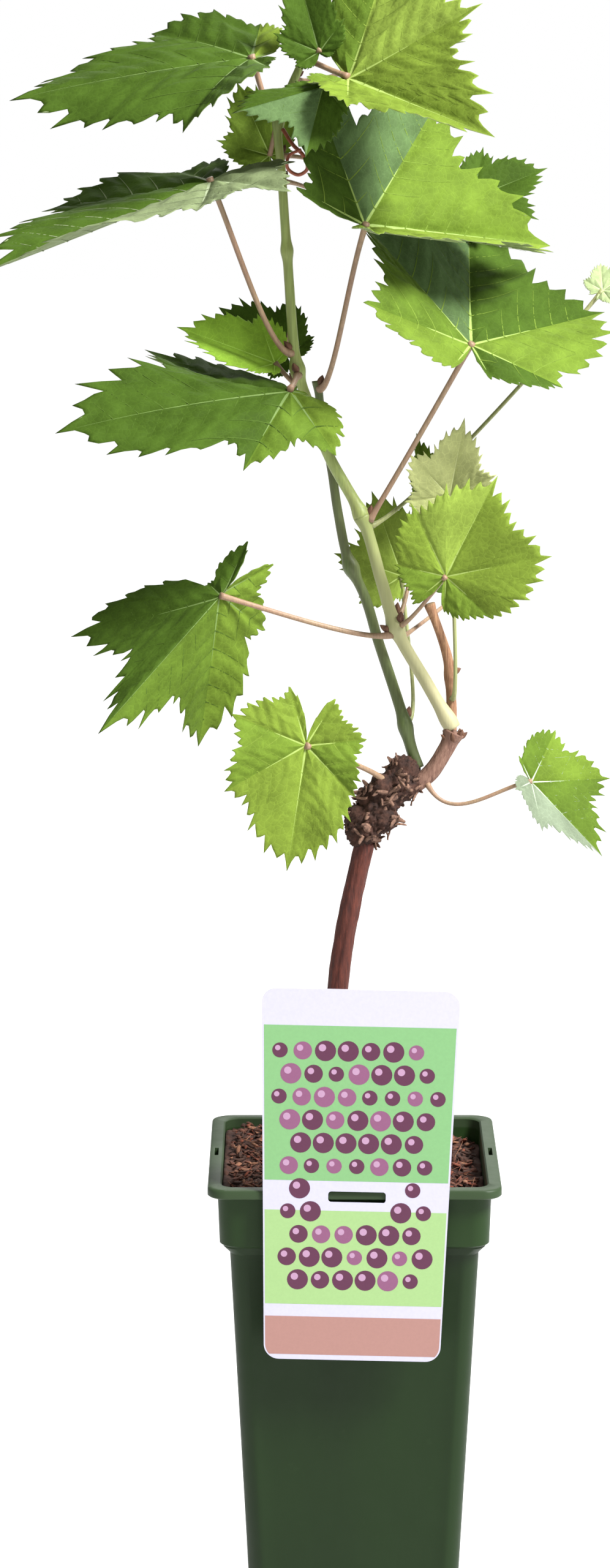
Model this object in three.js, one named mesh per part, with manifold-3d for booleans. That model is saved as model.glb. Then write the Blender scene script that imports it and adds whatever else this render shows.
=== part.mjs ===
// A potted grapevine: a grafted vine with two green shoots, in a tall square nursery pot with a card label.
// Millimetres, +Z up, +Y to the back. The origin is the centre of the pot's flat underside.
import * as THREE from "three";
import { mergeVertices } from "three/addons/utils/BufferGeometryUtils.js";
import Module from "manifold-3d";

const wasm = await Module();
wasm.setup();

const GAP = 0.3; // clear space between neighbours, which are all separate solids

// Pot: a square tapered wall under a flat lip. Half widths are across the flats.
const POT_HEIGHT = 200;
const LIP = { half: 57.5, height: 4, bore: 52 };
const COLLAR = { top: 53.6, foot: 52.9, height: 20.5, step: 2 };
const BODY = { top: 49.2, foot: 40.2 };
const WALL = 1.5;
const FLOOR = 3;
const CORNER = 7.5; // radius of the body's upright corners
const CORNER_STEPS = 3;
const SLOT = { at: 54.8, wide: 1.6, long: 11 }; // hanging slots through the lip, left and right
const DRAIN = { radius: 5, at: 26, sides: 12 };

// Compost: it leans up to the pot's left side and is level where the trunk stands.
const SOIL = { level: 194, lean: 0.06, lumps: 1.2, rings: 6, sides: 24 };

// Card label that hangs on the front of the lip by its slot.
const CARD = { top: 76.6, foot: 69.2, height: 149, thick: 0.7, corner: 6, lean: 1.3 };
const CARD_CENTRE = [0.6, 206];
const CARD_SLOT = { wide: 22.4, high: 4.4, at: [1, 197.6] };

// Colours of the parts.
const COLOURS = {
  pot: 0x3a5232, soil: 0x4a2c1e, card: 0xebe8f6,
  rootstock: 0x6e3a2a, callus: 0x4c3226, oldWood: 0x8a6658, stub: 0xa88464,
  shoot: 0x86a058, darkShoot: 0x5c7840, leaf: 0x5f8a30, tendril: 0x7a3c28,
};
const ROUGH = { plastic: 0.45, card: 0.4, bark: 0.85, leaf: 0.5, soil: 0.95 };

// Limbs. Each is a list of points on its axis, the radius at its ends, and swellings at its nodes.
const TRUNK = {
  points: [[-12.2, -8, 188], [-8.5, -7, 240], [-4.5, -5.5, 285], [5, -3, 331]],
  radii: [4.4, 3.7], flare: { extra: 3.4, reach: 16 },
};
const OLD_SPUR = {
  points: [[24, 0, 349.5], [30.5, 0, 355], [35.5, 0, 363], [39.3, 0, 371]],
  radii: [3.2, 3.1], knots: [[1, 1.2, 0.12]],
};
const STUB = {
  points: [[38.5, 6.8, 370], [38.5, 8, 380], [37, 7, 398], [29.5, 5, 421]],
  radii: [2.1, 1.6], knots: [[0.42, 0.6, 0.08], [1, 0.5, 0.06]],
};
// The main shoot is one curve, cut in two at the node where it bends upright.
const MAIN_SHOOT = {
  points: [
    [38.8, 0, 372.4], [29.2, 0, 389], [16.8, 0, 411], [10.5, 0, 431], [3, 0, 456], [-10, 0, 480],
    [-17.7, 0, 500], [-22.3, 0, 514], [-26.5, 0, 562], [-28.5, 0, 591], [-29.7, 0.5, 609],
    [-25, 3, 622], [-19, 6, 636], [-16, 9, 652], [-13, 11, 668], [-8, 12, 684],
  ],
  radii: [2.6, 1.3],
  knots: [
    [0.01, 0.9, 0.016], [0.14, 1.3, 0.011], [0.28, 1.2, 0.013],
    [0.47, 1.2, 0.011], [0.61, 0.7, 0.009], [0.76, 0.9, 0.01],
  ],
};
const MAIN_CUT = 0.28;
const SIDE_SHOOT = {
  points: [
    [25.5, 4.5, 355.5], [23, 5.5, 362], [18.5, 7, 378], [10, 9, 404], [4.6, 10, 422], [-2.8, 10, 439],
    [-6.5, 10, 457], [-9.4, 11, 476], [-13, 13, 495], [-14.5, 14, 508],
  ],
  radii: [2.3, 1.6], knots: [[0.11, 0.9, 0.025], [0.53, 1.4, 0.025], [1, 0.7, 0.02]],
};

// Tendril that curls at the upper node.
const TENDRIL = {
  points: [
    [-27.85, -2.15, 606.6], [-24, -7, 601], [-20, -9, 597], [-18.5, -8, 592], [-22, -6, 589.5],
    [-26, -7, 592], [-25.5, -9.5, 597], [-21, -12, 599.5],
  ],
  radii: [0.85, 0.6],
};

// Callus round the graft: lumps strung along its axis, each [share of the axis, radius, turn].
const GRAFT = { from: [3.5, -3, 332], to: [19.5, 0.5, 355], core: [7.4, 6.6] };
const LUMPS = [
  [-0.05, 5, 60], [0.1, 5, 190], [0.3, 5.6, 330], [0.42, 5.4, 175], [0.5, 5.6, 110], [0.65, 5.4, 215],
  [0.85, 5.4, 350], [1.05, 4.8, 60],
];

// A vine leaf, in polar form about the point where its stalk ends. Angles are in degrees from the midrib.
const LOBE_ANGLES = [0, 52, 104, 156];
const LOBE = { width: 56, fullness: 0.5 }; // angle from a lobe's tip to where it ends, and how round it is
const TOOTH_STEP = 13; // degrees from a tooth's tip to its notch
const TOOTH_DEPTH = 0.05;
const BLADE = { thick: 1.2, rings: 2, pleat: 0.16 }; // pleat: rise per distance from the nearest main vein
const STALK = { radius: 1.15, sides: 4, steps: 4 };

// Leaves. on, share: the limb that carries the leaf and how far along it, or foot: a point in the callus;
// out: the stalk's way out there; bow: how far its knee is moved; at: where the stalk meets the blade;
// tip: the midrib's end; face: where the upper side looks; fold: degrees by which the [left, right] half
// is raised at the tip; lift: how much more at the base; arch: how far the midrib bows up;
// width: the lobes' width; left, right: the side lobes' lengths as shares of the midrib, from the tip back.
const LEAVES = [
  {
    on: "main", share: 0.765, at: [-40, -5, 635], tip: [-125, -12, 618],
    face: [0, -0.35, 1], fold: [-38, -12], lift: [96, 30], arch: 6, width: 60,
    left: [0.62, 0.2, 0.05], right: [0.62, 0.34, 0.08],
  },
  {
    on: "main", share: 0.49, at: [-56, -15, 589], tip: [-133, -63, 560],
    face: [0, 0, 1], fold: [16, 4], lift: [-40, -12], left: [0.5, 0.42, 0.34], right: [0.72, 0.4, 0.1],
  },
  {
    on: "main", share: 0.84, at: [-3, -8, 627], tip: [47, -45, 609],
    face: [0, -0.75, 0.65], fold: [20, 35], left: [0.84, 0.8, 0.05], right: [0.5, 0.3, 0.05],
  },
  {
    on: "main", share: 0.79, at: [-12, -14, 624], tip: [-44, -31, 616],
    face: [0, 0, 1], fold: [-60, 6], left: [0.85, 0.4, 0.05], right: [0.5, 0.1, 0.05],
  },
  {
    on: "main", share: 0.895, at: [-14, -3, 636], tip: [-22, -3, 665],
    face: [0, -1, 0.1], fold: [10, 10], left: [0.6, 0.35, 0.05], right: [0.5, 0.2, 0.05],
  },
  {
    on: "side", share: 0.98, at: [4, -20, 572], tip: [72, 20, 562],
    face: [0.55, -0.72, 0.45], fold: [0, 60], left: [0.86, 0.66, 0.38], right: [0.5, 0.25, 0.1],
  },
  {
    on: "main", share: 0.272, bow: [-4, 0, 6], at: [45, -15, 526], tip: [45, 49, 567],
    face: [0.32, -0.48, 0.75], fold: [18, 0], width: 64,
    left: [0.82, 0.68, 0.1], right: [0.9, 0.5, 0.25],
  },
  {
    on: "main", share: 0.264, at: [98, 38, 541], tip: [112, 45, 550],
    face: [0, -0.6, 0.8], fold: [10, 10], left: [0.7, 0.5, 0.3], right: [0.7, 0.5, 0.3],
  },
  {
    on: "main", share: 0.72, at: [47, 46, 577], tip: [74, 56, 587],
    face: [0, -0.8, 0.6], fold: [10, 10], left: [0.7, 0.5, 0.3], right: [0.86, 0.7, 0.4],
  },
  {
    on: "main", share: 0.464, at: [-25, -22, 509], tip: [-109, -42, 497],
    face: [0, -0.45, 1], fold: [-20, 18], lift: [0, -90], arch: 5, width: 48,
    left: [0.5, 0.4, 0.08], right: [0.76, 0.1, 0.05],
  },
  {
    on: "main", share: 0.452, at: [-31, 6, 516], tip: [-66, 11, 529],
    face: [0, -0.6, 0.8], fold: [10, 10], left: [0.36, 0.2, 0.05], right: [0.6, 0.2, 0.05],
  },
  {
    on: "main", share: 0.54, bow: [2, 9, 0], at: [-27, 32, 516], tip: [-52, 46, 533],
    face: [0, -0.8, 0.6], fold: [10, 10], left: [0.6, 0.4, 0.1], right: [0.7, 0.4, 0.1],
  },
  {
    on: "main", share: 0.135, at: [-52, -25, 429], tip: [-94, -52, 385],
    face: [0.26, -0.89, 0.36], fold: [-45, -54], width: 46,
    left: [0.95, 0.5, 0.42], right: [0.94, 0.2, 0.42],
  },
  {
    foot: [12, -5, 352], out: [-0.3, -0.4, 1], at: [-19, -30, 371], tip: [-26, -36, 326],
    face: [0.1, -1, 0.25], fold: [5, 5], arch: 5, width: 75,
    left: [0.58, 0.5, 0.46], right: [0.76, 0.66, 0.5],
  },
  {
    on: "spur", share: 0.16, out: [0.2, -0.5, -0.8], bow: [6, 0, -14],
    at: [70, -5, 352], tip: [96, -8, 325],
    face: [0.85, -0.45, 0.2], fold: [20, 5], left: [0.9, 0.7, 0.3], right: [0.64, 0.34, 0.15],
  },
  {
    on: "main", share: 0.141, at: [35, -22, 436], tip: [53, -18, 471],
    face: [-0.1, -0.95, 0.3], fold: [5, 5], arch: 5, width: 84,
    left: [0.74, 0.5, 0.42], right: [1, 0.55, 0.2],
  },
  {
    on: "stub", share: 0.25, at: [37, 1, 464], tip: [42, -2, 492],
    face: [0, -1, 0.3], fold: [15, 15], left: [0.8, 0.6, 0.3], right: [0.7, 0.5, 0.3],
  },
  {
    on: "main", share: 0.15, at: [27, 22, 462], tip: [25, 20, 484],
    face: [0.3, -1, 0.3], fold: [50, 50], left: [0.6, 0.4, 0.2], right: [0.6, 0.4, 0.2],
  },
  {
    on: "side", share: 0.12, at: [19, 26, 429], tip: [8, 36, 459],
    face: [0, -1, 0.3], fold: [5, 5], left: [0.8, 0.6, 0.3], right: [0.8, 0.5, 0.1],
  },
  {
    on: "main", share: 0.755, at: [-33, 9, 596], tip: [-45, 14, 622],
    face: [0, -1, 0.3], fold: [15, 15], left: [0.7, 0.5, 0.3], right: [0.6, 0.3, 0.2],
  },
  {
    on: "main", share: 0.125, at: [46, 42, 424], tip: [54, 78, 434],
    face: [0, 0.3, 1], fold: [8, 8], arch: 6, left: [0.8, 0.6, 0.4], right: [0.8, 0.6, 0.4],
  },
  {
    on: "main", share: 0.41, at: [-45, 42, 484], tip: [-70, 78, 476],
    face: [0, 0.3, 1], fold: [8, 8], arch: 6, left: [0.8, 0.6, 0.4], right: [0.75, 0.55, 0.4],
  },
  {
    on: "main", share: 0.69, at: [38, 66, 556], tip: [46, 104, 548],
    face: [0, 0.3, 1], fold: [8, 8], arch: 6, left: [0.8, 0.6, 0.4], right: [0.8, 0.6, 0.4],
  },
  {
    on: "main", share: 0.815, at: [16, 42, 634], tip: [26, 76, 630],
    face: [0, 0.3, 1], fold: [8, 8], arch: 6, left: [0.8, 0.6, 0.4], right: [0.8, 0.6, 0.4],
  },
  {
    on: "main", share: 0.985, at: [-16, 22, 694], tip: [-34, 34, 706],
    face: [0, -0.3, 1], fold: [25, 25], left: [0.8, 0.6, 0.4], right: [0.8, 0.6, 0.4],
  },
  {
    on: "main", share: 0.975, at: [4, 2, 698], tip: [18, -10, 708],
    face: [0, -0.3, 1], fold: [30, 30], left: [0.8, 0.6, 0.4], right: [0.8, 0.6, 0.4],
  },
];

const radians = THREE.MathUtils.degToRad;
const vec = (p) => new THREE.Vector3(...p);

// The closed mesh of a list of rings: side walls between neighbours and a fan over each end.
function loft(rings, start, end) {
  const count = rings[0].length;
  const points = [start, ...rings.flat(), end];
  const last = points.length - 1;
  const index = [];
  for (let k = 0; k < count; k++) {
    const next = (k + 1) % count;
    index.push(0, 1 + next, 1 + k);
    for (let r = 0; r + 1 < rings.length; r++) {
      const a = 1 + r * count;
      const b = a + count;
      index.push(a + k, a + next, b + next, a + k, b + next, b + k);
    }
    const top = 1 + (rings.length - 1) * count;
    index.push(last, top + k, top + next);
  }
  return new THREE.BufferGeometry().setFromPoints(points).setIndex(index);
}

function toSolid(geometry) {
  const bare = geometry.clone();
  bare.deleteAttribute("normal");
  bare.deleteAttribute("uv");
  const merged = mergeVertices(bare, 1e-4);
  const vertProperties = new Float32Array(merged.attributes.position.array);
  const triVerts = new Uint32Array(merged.index.array);
  return new wasm.Manifold(new wasm.Mesh({ numProp: 3, vertProperties, triVerts }));
}

function fromSolid(solid) {
  const mesh = solid.getMesh();
  return new THREE.BufferGeometry()
    .setAttribute("position", new THREE.BufferAttribute(mesh.vertProperties, 3))
    .setIndex(new THREE.BufferAttribute(mesh.triVerts, 1));
}

// A limb: its axis as a curve, its radius at each share of its length, and its mesh between two shares.
function makeLimb({ points, radii, knots = [], flare }, sides, spacing) {
  const curve = new THREE.CatmullRomCurve3(points.map(vec), false, "centripetal");
  const length = curve.getLength();
  const radiusAt = (share) => {
    let radius = THREE.MathUtils.lerp(radii[0], radii[1], share);
    for (const [at, extra, reach] of knots) radius += extra * Math.exp(-(((share - at) / reach) ** 2));
    if (flare) radius += flare.extra * Math.exp(-share * length / flare.reach);
    return radius;
  };
  const geometry = (grow = 0, span = [0, 1]) => tube(curve, radiusAt, { sides, spacing, grow, span });
  return { curve, length, radiusAt, geometry };
}

// The mesh along a curve between two shares of it. grow widens it and lengthens it at both ends.
function tube(curve, radiusAt, { sides, spacing, grow = 0, span: [from, to] = [0, 1] }) {
  const steps = Math.max(2, Math.round((curve.getLength() * (to - from)) / spacing));
  const rings = [];
  const centres = [];
  let across = new THREE.Vector3(1, 0, 0);
  for (let i = 0; i <= steps; i++) {
    const share = THREE.MathUtils.lerp(from, to, i / steps);
    const along = curve.getTangentAt(share);
    across = across.clone().addScaledVector(along, -across.dot(along)).normalize();
    const other = along.clone().cross(across);
    const beyond = i === 0 ? -grow : i === steps ? grow : 0;
    const centre = curve.getPointAt(share).addScaledVector(along, beyond);
    centres.push(centre);
    rings.push(circle(centre, across, other, radiusAt(share) + grow, sides));
  }
  return loft(rings, centres[0], centres[steps]);
}

function circle(centre, u, v, radius, sides) {
  return Array.from({ length: sides }, (_, k) => {
    const turn = (2 * Math.PI * k) / sides;
    const point = centre.clone().addScaledVector(u, radius * Math.cos(turn));
    return point.addScaledVector(v, radius * Math.sin(turn));
  });
}

// A square ring with rounded corners, level at z.
function squareRing(half, z, corner) {
  const ring = [];
  for (let quarter = 0; quarter < 4; quarter++)
    for (let step = 0; step <= CORNER_STEPS; step++) {
      const turn = radians(90 * (quarter + step / CORNER_STEPS));
      const centre = radians(90 * quarter + 45);
      const reach = (half - corner) * Math.SQRT2;
      ring.push(new THREE.Vector3(
        reach * Math.cos(centre) + corner * Math.cos(turn),
        reach * Math.sin(centre) + corner * Math.sin(turn),
        z,
      ));
    }
  return ring;
}

const COLLAR_FOOT = POT_HEIGHT - LIP.height - COLLAR.height;
const bodyHalf = (z) => THREE.MathUtils.mapLinear(z, 0, COLLAR_FOOT, BODY.foot, BODY.top);

function potGeometry() {
  const lipFoot = POT_HEIGHT - LIP.height;
  const outside = [
    [BODY.foot, 0], [bodyHalf(COLLAR_FOOT - COLLAR.step), COLLAR_FOOT - COLLAR.step],
    [COLLAR.foot, COLLAR_FOOT], [COLLAR.top, lipFoot], [LIP.half, lipFoot + 0.4],
    [LIP.half, POT_HEIGHT - 0.8], [LIP.half - 0.8, POT_HEIGHT],
  ];
  const inside = [
    [LIP.bore, POT_HEIGHT], [LIP.bore - 0.6, COLLAR_FOOT - 1],
    [bodyHalf(COLLAR_FOOT - 6) - WALL, COLLAR_FOOT - 6], [bodyHalf(FLOOR) - WALL, FLOOR],
  ];
  const ring = ([half, z], wall) => squareRing(half, z, CORNER - wall);
  const rings = [...outside.map((p) => ring(p, 0)), ...inside.map((p) => ring(p, WALL))];
  let solid = toSolid(loft(rings, new THREE.Vector3(0, 0, 0), new THREE.Vector3(0, 0, FLOOR)));
  for (const side of [-1, 1]) {
    const slot = new THREE.BoxGeometry(SLOT.wide, SLOT.long, 3 * LIP.height);
    solid = solid.subtract(toSolid(slot.translate(side * SLOT.at, 0, POT_HEIGHT)));
    for (const end of [-1, 1]) {
      const drain = new THREE.CylinderGeometry(DRAIN.radius, DRAIN.radius, 3 * FLOOR, DRAIN.sides);
      drain.rotateX(Math.PI / 2).translate(side * DRAIN.at, end * DRAIN.at, 0);
      solid = solid.subtract(toSolid(drain));
    }
  }
  return fromSolid(solid);
}

// The compost's top: level round the trunk's foot, lumpy and leaning elsewhere.
function soilTop(x, y) {
  const [footX, footY] = TRUNK.points[0];
  const away = THREE.MathUtils.smoothstep(Math.hypot(x - footX, y - footY), 26, 44);
  const lumps = SOIL.lumps * Math.sin(0.31 * x + 1) * Math.cos(0.27 * y - 0.5);
  return SOIL.level + away * (lumps - SOIL.lean * (x - footX));
}

// A level ring of the compost: a square with its corners cut back to fit the pot.
function soilRing(half, z) {
  const corner = (half - CORNER) * Math.SQRT2 + CORNER - WALL;
  return Array.from({ length: SOIL.sides }, (_, k) => {
    const turn = (2 * Math.PI * k) / SOIL.sides;
    const [x, y] = [Math.cos(turn), Math.sin(turn)];
    const reach = Math.min(half / Math.max(Math.abs(x), Math.abs(y)), corner);
    return new THREE.Vector3(reach * x, reach * y, z);
  });
}

function soilGeometry() {
  const inner = (z) => bodyHalf(z) - WALL - GAP;
  const foot = FLOOR + GAP;
  const neck = COLLAR_FOOT - 7;
  const rings = [soilRing(inner(foot), foot), soilRing(inner(neck), neck)];
  for (let k = SOIL.rings; k > 0; k--) {
    const ring = soilRing((inner(neck) * k) / SOIL.rings, 0);
    rings.push(ring.map((p) => p.setZ(soilTop(p.x, p.y))));
  }
  const [start, end] = [new THREE.Vector3(0, 0, foot), new THREE.Vector3(0, 0, soilTop(0, 0))];
  return loft(rings, start, end);
}

// The card: wider at its head, with round corners and one slot that the lip shows through.
function cardGeometry() {
  const half = CARD.height / 2;
  const outline = new THREE.Shape();
  const [foot, top] = [CARD.foot / 2, CARD.top / 2];
  const corners = [[-foot, -half], [foot, -half], [top, half], [-top, half]];
  const quarter = Math.PI / 2;
  corners.forEach(([x, y], k) => {
    const [cx, cy] = [x - Math.sign(x) * CARD.corner, y - Math.sign(y) * CARD.corner];
    outline.absarc(cx, cy, CARD.corner, (k + 2) * quarter, (k + 3) * quarter, false);
  });
  const form = { depth: CARD.thick, bevelEnabled: false, curveSegments: 4 };
  const card = new THREE.ExtrudeGeometry(outline, form);
  card.translate(0, 0, -CARD.thick / 2).rotateX(quarter).rotateY(radians(CARD.lean));
  const front = LIP.half + GAP + CARD.thick / 2;
  card.translate(CARD_CENTRE[0], -front, CARD_CENTRE[1]);
  const slot = new THREE.BoxGeometry(CARD_SLOT.wide, 4 * CARD.thick, CARD_SLOT.high);
  slot.rotateY(radians(CARD.lean)).translate(CARD_SLOT.at[0], -front, CARD_SLOT.at[1]);
  return fromSolid(toSolid(card).subtract(toSolid(slot)));
}

// The trunk, cut flat just above the compost.
function trunkGeometry(limb) {
  const below = new THREE.BoxGeometry(60, 60, 60).translate(...TRUNK.points[0]);
  below.translate(0, 0, SOIL.level + GAP - TRUNK.points[0][2] - 30);
  return fromSolid(toSolid(limb.geometry()).subtract(toSolid(below)));
}

// The callus is cut clear of what is set in it: the ends of the trunk and spur, the side shoot and a stalk.
function graftGeometry(neighbours) {
  const [from, to] = [vec(GRAFT.from), vec(GRAFT.to)];
  const along = to.clone().sub(from).normalize();
  const across = new THREE.Vector3(0, 1, 0).cross(along).normalize();
  const other = along.clone().cross(across);
  const core = (share) => THREE.MathUtils.lerp(GRAFT.core[0], GRAFT.core[1], share);
  const ball = (radius, { x, y, z }) => toSolid(new THREE.IcosahedronGeometry(radius, 1).translate(x, y, z));
  let solid = ball(core(0), from).add(ball(core(1), to)).add(ball(core(0.5), from.clone().lerp(to, 0.5)));
  for (const [share, radius, turn] of LUMPS) {
    const out = core(share) * 0.72;
    const centre = from.clone().lerp(to, share);
    centre.addScaledVector(across, out * Math.cos(radians(turn)));
    centre.addScaledVector(other, out * Math.sin(radians(turn)));
    solid = solid.add(ball(radius, centre));
  }
  return cutClear(solid, neighbours);
}

// The largest piece of a solid once its neighbours, grown by the gap, are cut from it.
function cutClear(solid, neighbours) {
  for (const geometry of neighbours) solid = solid.subtract(toSolid(geometry(GAP)));
  const pieces = solid.decompose();
  return fromSolid(pieces.reduce((a, b) => (a.volume() > b.volume() ? a : b)));
}

// One half's reach at an angle from the midrib, as a share of its length. lobes are the side lobes' lengths.
function bladeReach(lobes, angle, width) {
  let reach = 0;
  [1, ...lobes].forEach((length, k) => {
    const off = Math.min(1, Math.abs(angle - LOBE_ANGLES[k]) / width);
    reach = Math.max(reach, length * (1 - off) ** LOBE.fullness);
  });
  const notch = THREE.MathUtils.clamp((180 - angle) / 20, 0.12, 1); // where the stalk comes in
  return reach * notch;
}

// The outline's points, from the midrib round the left half and back: [degrees, share of the length].
function bladeOutline({ left, right, width = LOBE.width }) {
  const steps = Math.floor(180 / TOOTH_STEP);
  const half = (lobes) => Array.from({ length: steps + 1 }, (_, k) => {
    const tooth = 1 + (k % 2 ? -TOOTH_DEPTH : TOOTH_DEPTH);
    return [k * TOOTH_STEP, bladeReach(lobes, k * TOOTH_STEP, width) * tooth];
  });
  const back = half(right).slice(1).reverse().map(([angle, reach]) => [-angle, reach]);
  return [...half(left), ...back];
}

// A point's distance from the nearest main vein, as a share of the leaf's length.
function veinDistance(s, t) {
  const angle = Math.abs(THREE.MathUtils.radToDeg(Math.atan2(t, s)));
  const off = Math.min(...LOBE_ANGLES.map((vein) => Math.abs(angle - vein)));
  return Math.hypot(s, t) * Math.sin(radians(off));
}

// A point of the folded, arched and pleated blade: s runs along the midrib and t to its right,
// both as shares of its length.
function bladePoint(leaf, frame, s, t) {
  const side = t < 0 ? 0 : 1;
  const rise = radians((leaf.arch ?? 0) * (1 - s));
  const raise = radians(leaf.fold[side] + ((leaf.lift?.[side] ?? 0) * (1 - s)) / 2);
  const up = s * Math.sin(rise) + Math.abs(t) * Math.sin(raise) + BLADE.pleat * veinDistance(s, t);
  return vec(leaf.at)
    .addScaledVector(frame.along, frame.length * s * Math.cos(rise))
    .addScaledVector(frame.right, frame.length * t * Math.cos(raise))
    .addScaledVector(frame.up, frame.length * up);
}

function bladeFrame(leaf) {
  const along = vec(leaf.tip).sub(vec(leaf.at));
  const length = along.length();
  along.normalize();
  const up = vec(leaf.face).addScaledVector(along, -vec(leaf.face).dot(along)).normalize();
  return { along, up, right: along.clone().cross(up), length };
}

function bladeSolid(leaf) {
  const frame = bladeFrame(leaf);
  const outline = bladeOutline(leaf);
  const count = outline.length;
  const points = [bladePoint(leaf, frame, 0, 0)];
  const index = [];
  for (let ring = 1; ring <= BLADE.rings; ring++)
    for (const [angle, reach] of outline) {
      const r = (reach * ring) / BLADE.rings;
      points.push(bladePoint(leaf, frame, r * Math.cos(radians(angle)), -r * Math.sin(radians(angle))));
    }
  for (let k = 0; k < count; k++) {
    const next = (k + 1) % count;
    index.push(0, 1 + k, 1 + next);
    for (let ring = 1; ring < BLADE.rings; ring++) {
      const a = 1 + (ring - 1) * count;
      const b = a + count;
      index.push(a + k, b + k, b + next, a + k, b + next, a + next);
    }
  }
  const sheet = new THREE.BufferGeometry().setFromPoints(points).setIndex(index);
  sheet.computeVertexNormals();
  return thicken(sheet, count);
}

// Gives an indexed sheet its thickness. The sheet's rim is its last rimCount points.
function thicken(sheet, rimCount) {
  const { position, normal } = sheet.attributes;
  const count = position.count;
  const points = [];
  for (const way of [0.5, -0.5])
    for (let k = 0; k < count; k++) {
      const out = new THREE.Vector3().fromBufferAttribute(normal, k);
      const point = new THREE.Vector3().fromBufferAttribute(position, k);
      points.push(point.addScaledVector(out, way * BLADE.thick));
    }
  const upper = Array.from(sheet.index.array);
  const lower = upper.map((k) => k + count);
  for (let k = 0; k < lower.length; k += 3) [lower[k + 1], lower[k + 2]] = [lower[k + 2], lower[k + 1]];
  const rim = [];
  for (let k = 0; k < rimCount; k++) {
    const a = count - rimCount + k;
    const b = count - rimCount + ((k + 1) % rimCount);
    rim.push(a, a + count, b + count, a, b + count, b);
  }
  return toSolid(new THREE.BufferGeometry().setFromPoints(points).setIndex([...upper, ...lower, ...rim]));
}

// Where a stalk starts on its limb, and the way out from the bark there.
function stalkFoot(leaf, limb, end) {
  const onAxis = limb.curve.getPointAt(leaf.share);
  const axis = limb.curve.getTangentAt(leaf.share);
  const out = leaf.out ? vec(leaf.out) : end.clone().sub(onAxis);
  out.addScaledVector(axis, -out.dot(axis)).normalize();
  return [onAxis.clone().addScaledVector(out, limb.radiusAt(leaf.share) + GAP + 0.15), out];
}

// The stalk leaves the limb square to it, with its foot clear of the bark, and ends in the blade.
function stalkGeometry(leaf, limb, grow = 0) {
  const end = vec(leaf.at);
  const [foot, out] = leaf.foot ? [vec(leaf.foot), vec(leaf.out).normalize()] : stalkFoot(leaf, limb, end);
  const reach = foot.distanceTo(end);
  const knee = foot.clone().addScaledVector(out, 0.12 * reach).add(vec(leaf.bow ?? [0, 0, 0]));
  const neck = end.clone().lerp(foot, 0.3).addScaledVector(bladeFrame(leaf).up, -0.05 * reach);
  const curve = new THREE.CubicBezierCurve3(foot, knee, neck, end);
  return tube(curve, () => STALK.radius, { sides: STALK.sides, spacing: reach / STALK.steps, grow });
}

function add(group, name, geometry, color, roughness) {
  const mesh = new THREE.Mesh(geometry, new THREE.MeshStandardMaterial({ color, roughness, metalness: 0 }));
  mesh.name = name;
  group.add(mesh);
}

const limbs = {
  trunk: makeLimb(TRUNK, 10, 12),
  spur: makeLimb(OLD_SPUR, 8, 5),
  stub: makeLimb(STUB, 7, 8),
  main: makeLimb(MAIN_SHOOT, 8, 8),
  side: makeLimb(SIDE_SHOOT, 7, 8),
  tendril: makeLimb(TENDRIL, 5, 2.2),
};

const vine = new THREE.Group();
add(vine, "pot", potGeometry(), COLOURS.pot, ROUGH.plastic);
add(vine, "compost", soilGeometry(), COLOURS.soil, ROUGH.soil);
add(vine, "label_card", cardGeometry(), COLOURS.card, ROUGH.card);
add(vine, "trunk", trunkGeometry(limbs.trunk), COLOURS.rootstock, ROUGH.bark);
const fromCallus = LEAVES.filter((leaf) => leaf.foot);
const sockets = [
  limbs.trunk.geometry, limbs.spur.geometry, limbs.side.geometry,
  ...fromCallus.map((leaf) => (grow) => stalkGeometry(leaf, undefined, grow)),
];
add(vine, "graft_callus", graftGeometry(sockets), COLOURS.callus, ROUGH.bark);
add(vine, "old_spur", limbs.spur.geometry(), COLOURS.oldWood, ROUGH.bark);
add(vine, "pruned_stub", limbs.stub.geometry(), COLOURS.stub, ROUGH.bark);
const lowerMain = toSolid(limbs.main.geometry(0, [0, MAIN_CUT]));
add(vine, "main_shoot_lower", cutClear(lowerMain, [limbs.spur.geometry]), COLOURS.shoot, ROUGH.bark);
const upperSpan = [MAIN_CUT + GAP / limbs.main.length, 1];
add(vine, "main_shoot_upper", limbs.main.geometry(0, upperSpan), COLOURS.shoot, ROUGH.bark);
add(vine, "side_shoot", limbs.side.geometry(), COLOURS.darkShoot, ROUGH.bark);
add(vine, "tendril", limbs.tendril.geometry(), COLOURS.tendril, ROUGH.bark);
LEAVES.forEach((leaf, k) => {
  const solid = bladeSolid(leaf).add(toSolid(stalkGeometry(leaf, limbs[leaf.on])));
  add(vine, "leaf_" + String(k + 1).padStart(2, "0"), fromSolid(solid), COLOURS.leaf, ROUGH.leaf);
});

export default vine;
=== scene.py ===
"""A potted grapevine, dressed over its CAD frame. Shapes are worked out in mm and made in metres."""
import math
import random
from collections import namedtuple

import bpy
import numpy as np
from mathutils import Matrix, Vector, noise


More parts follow.
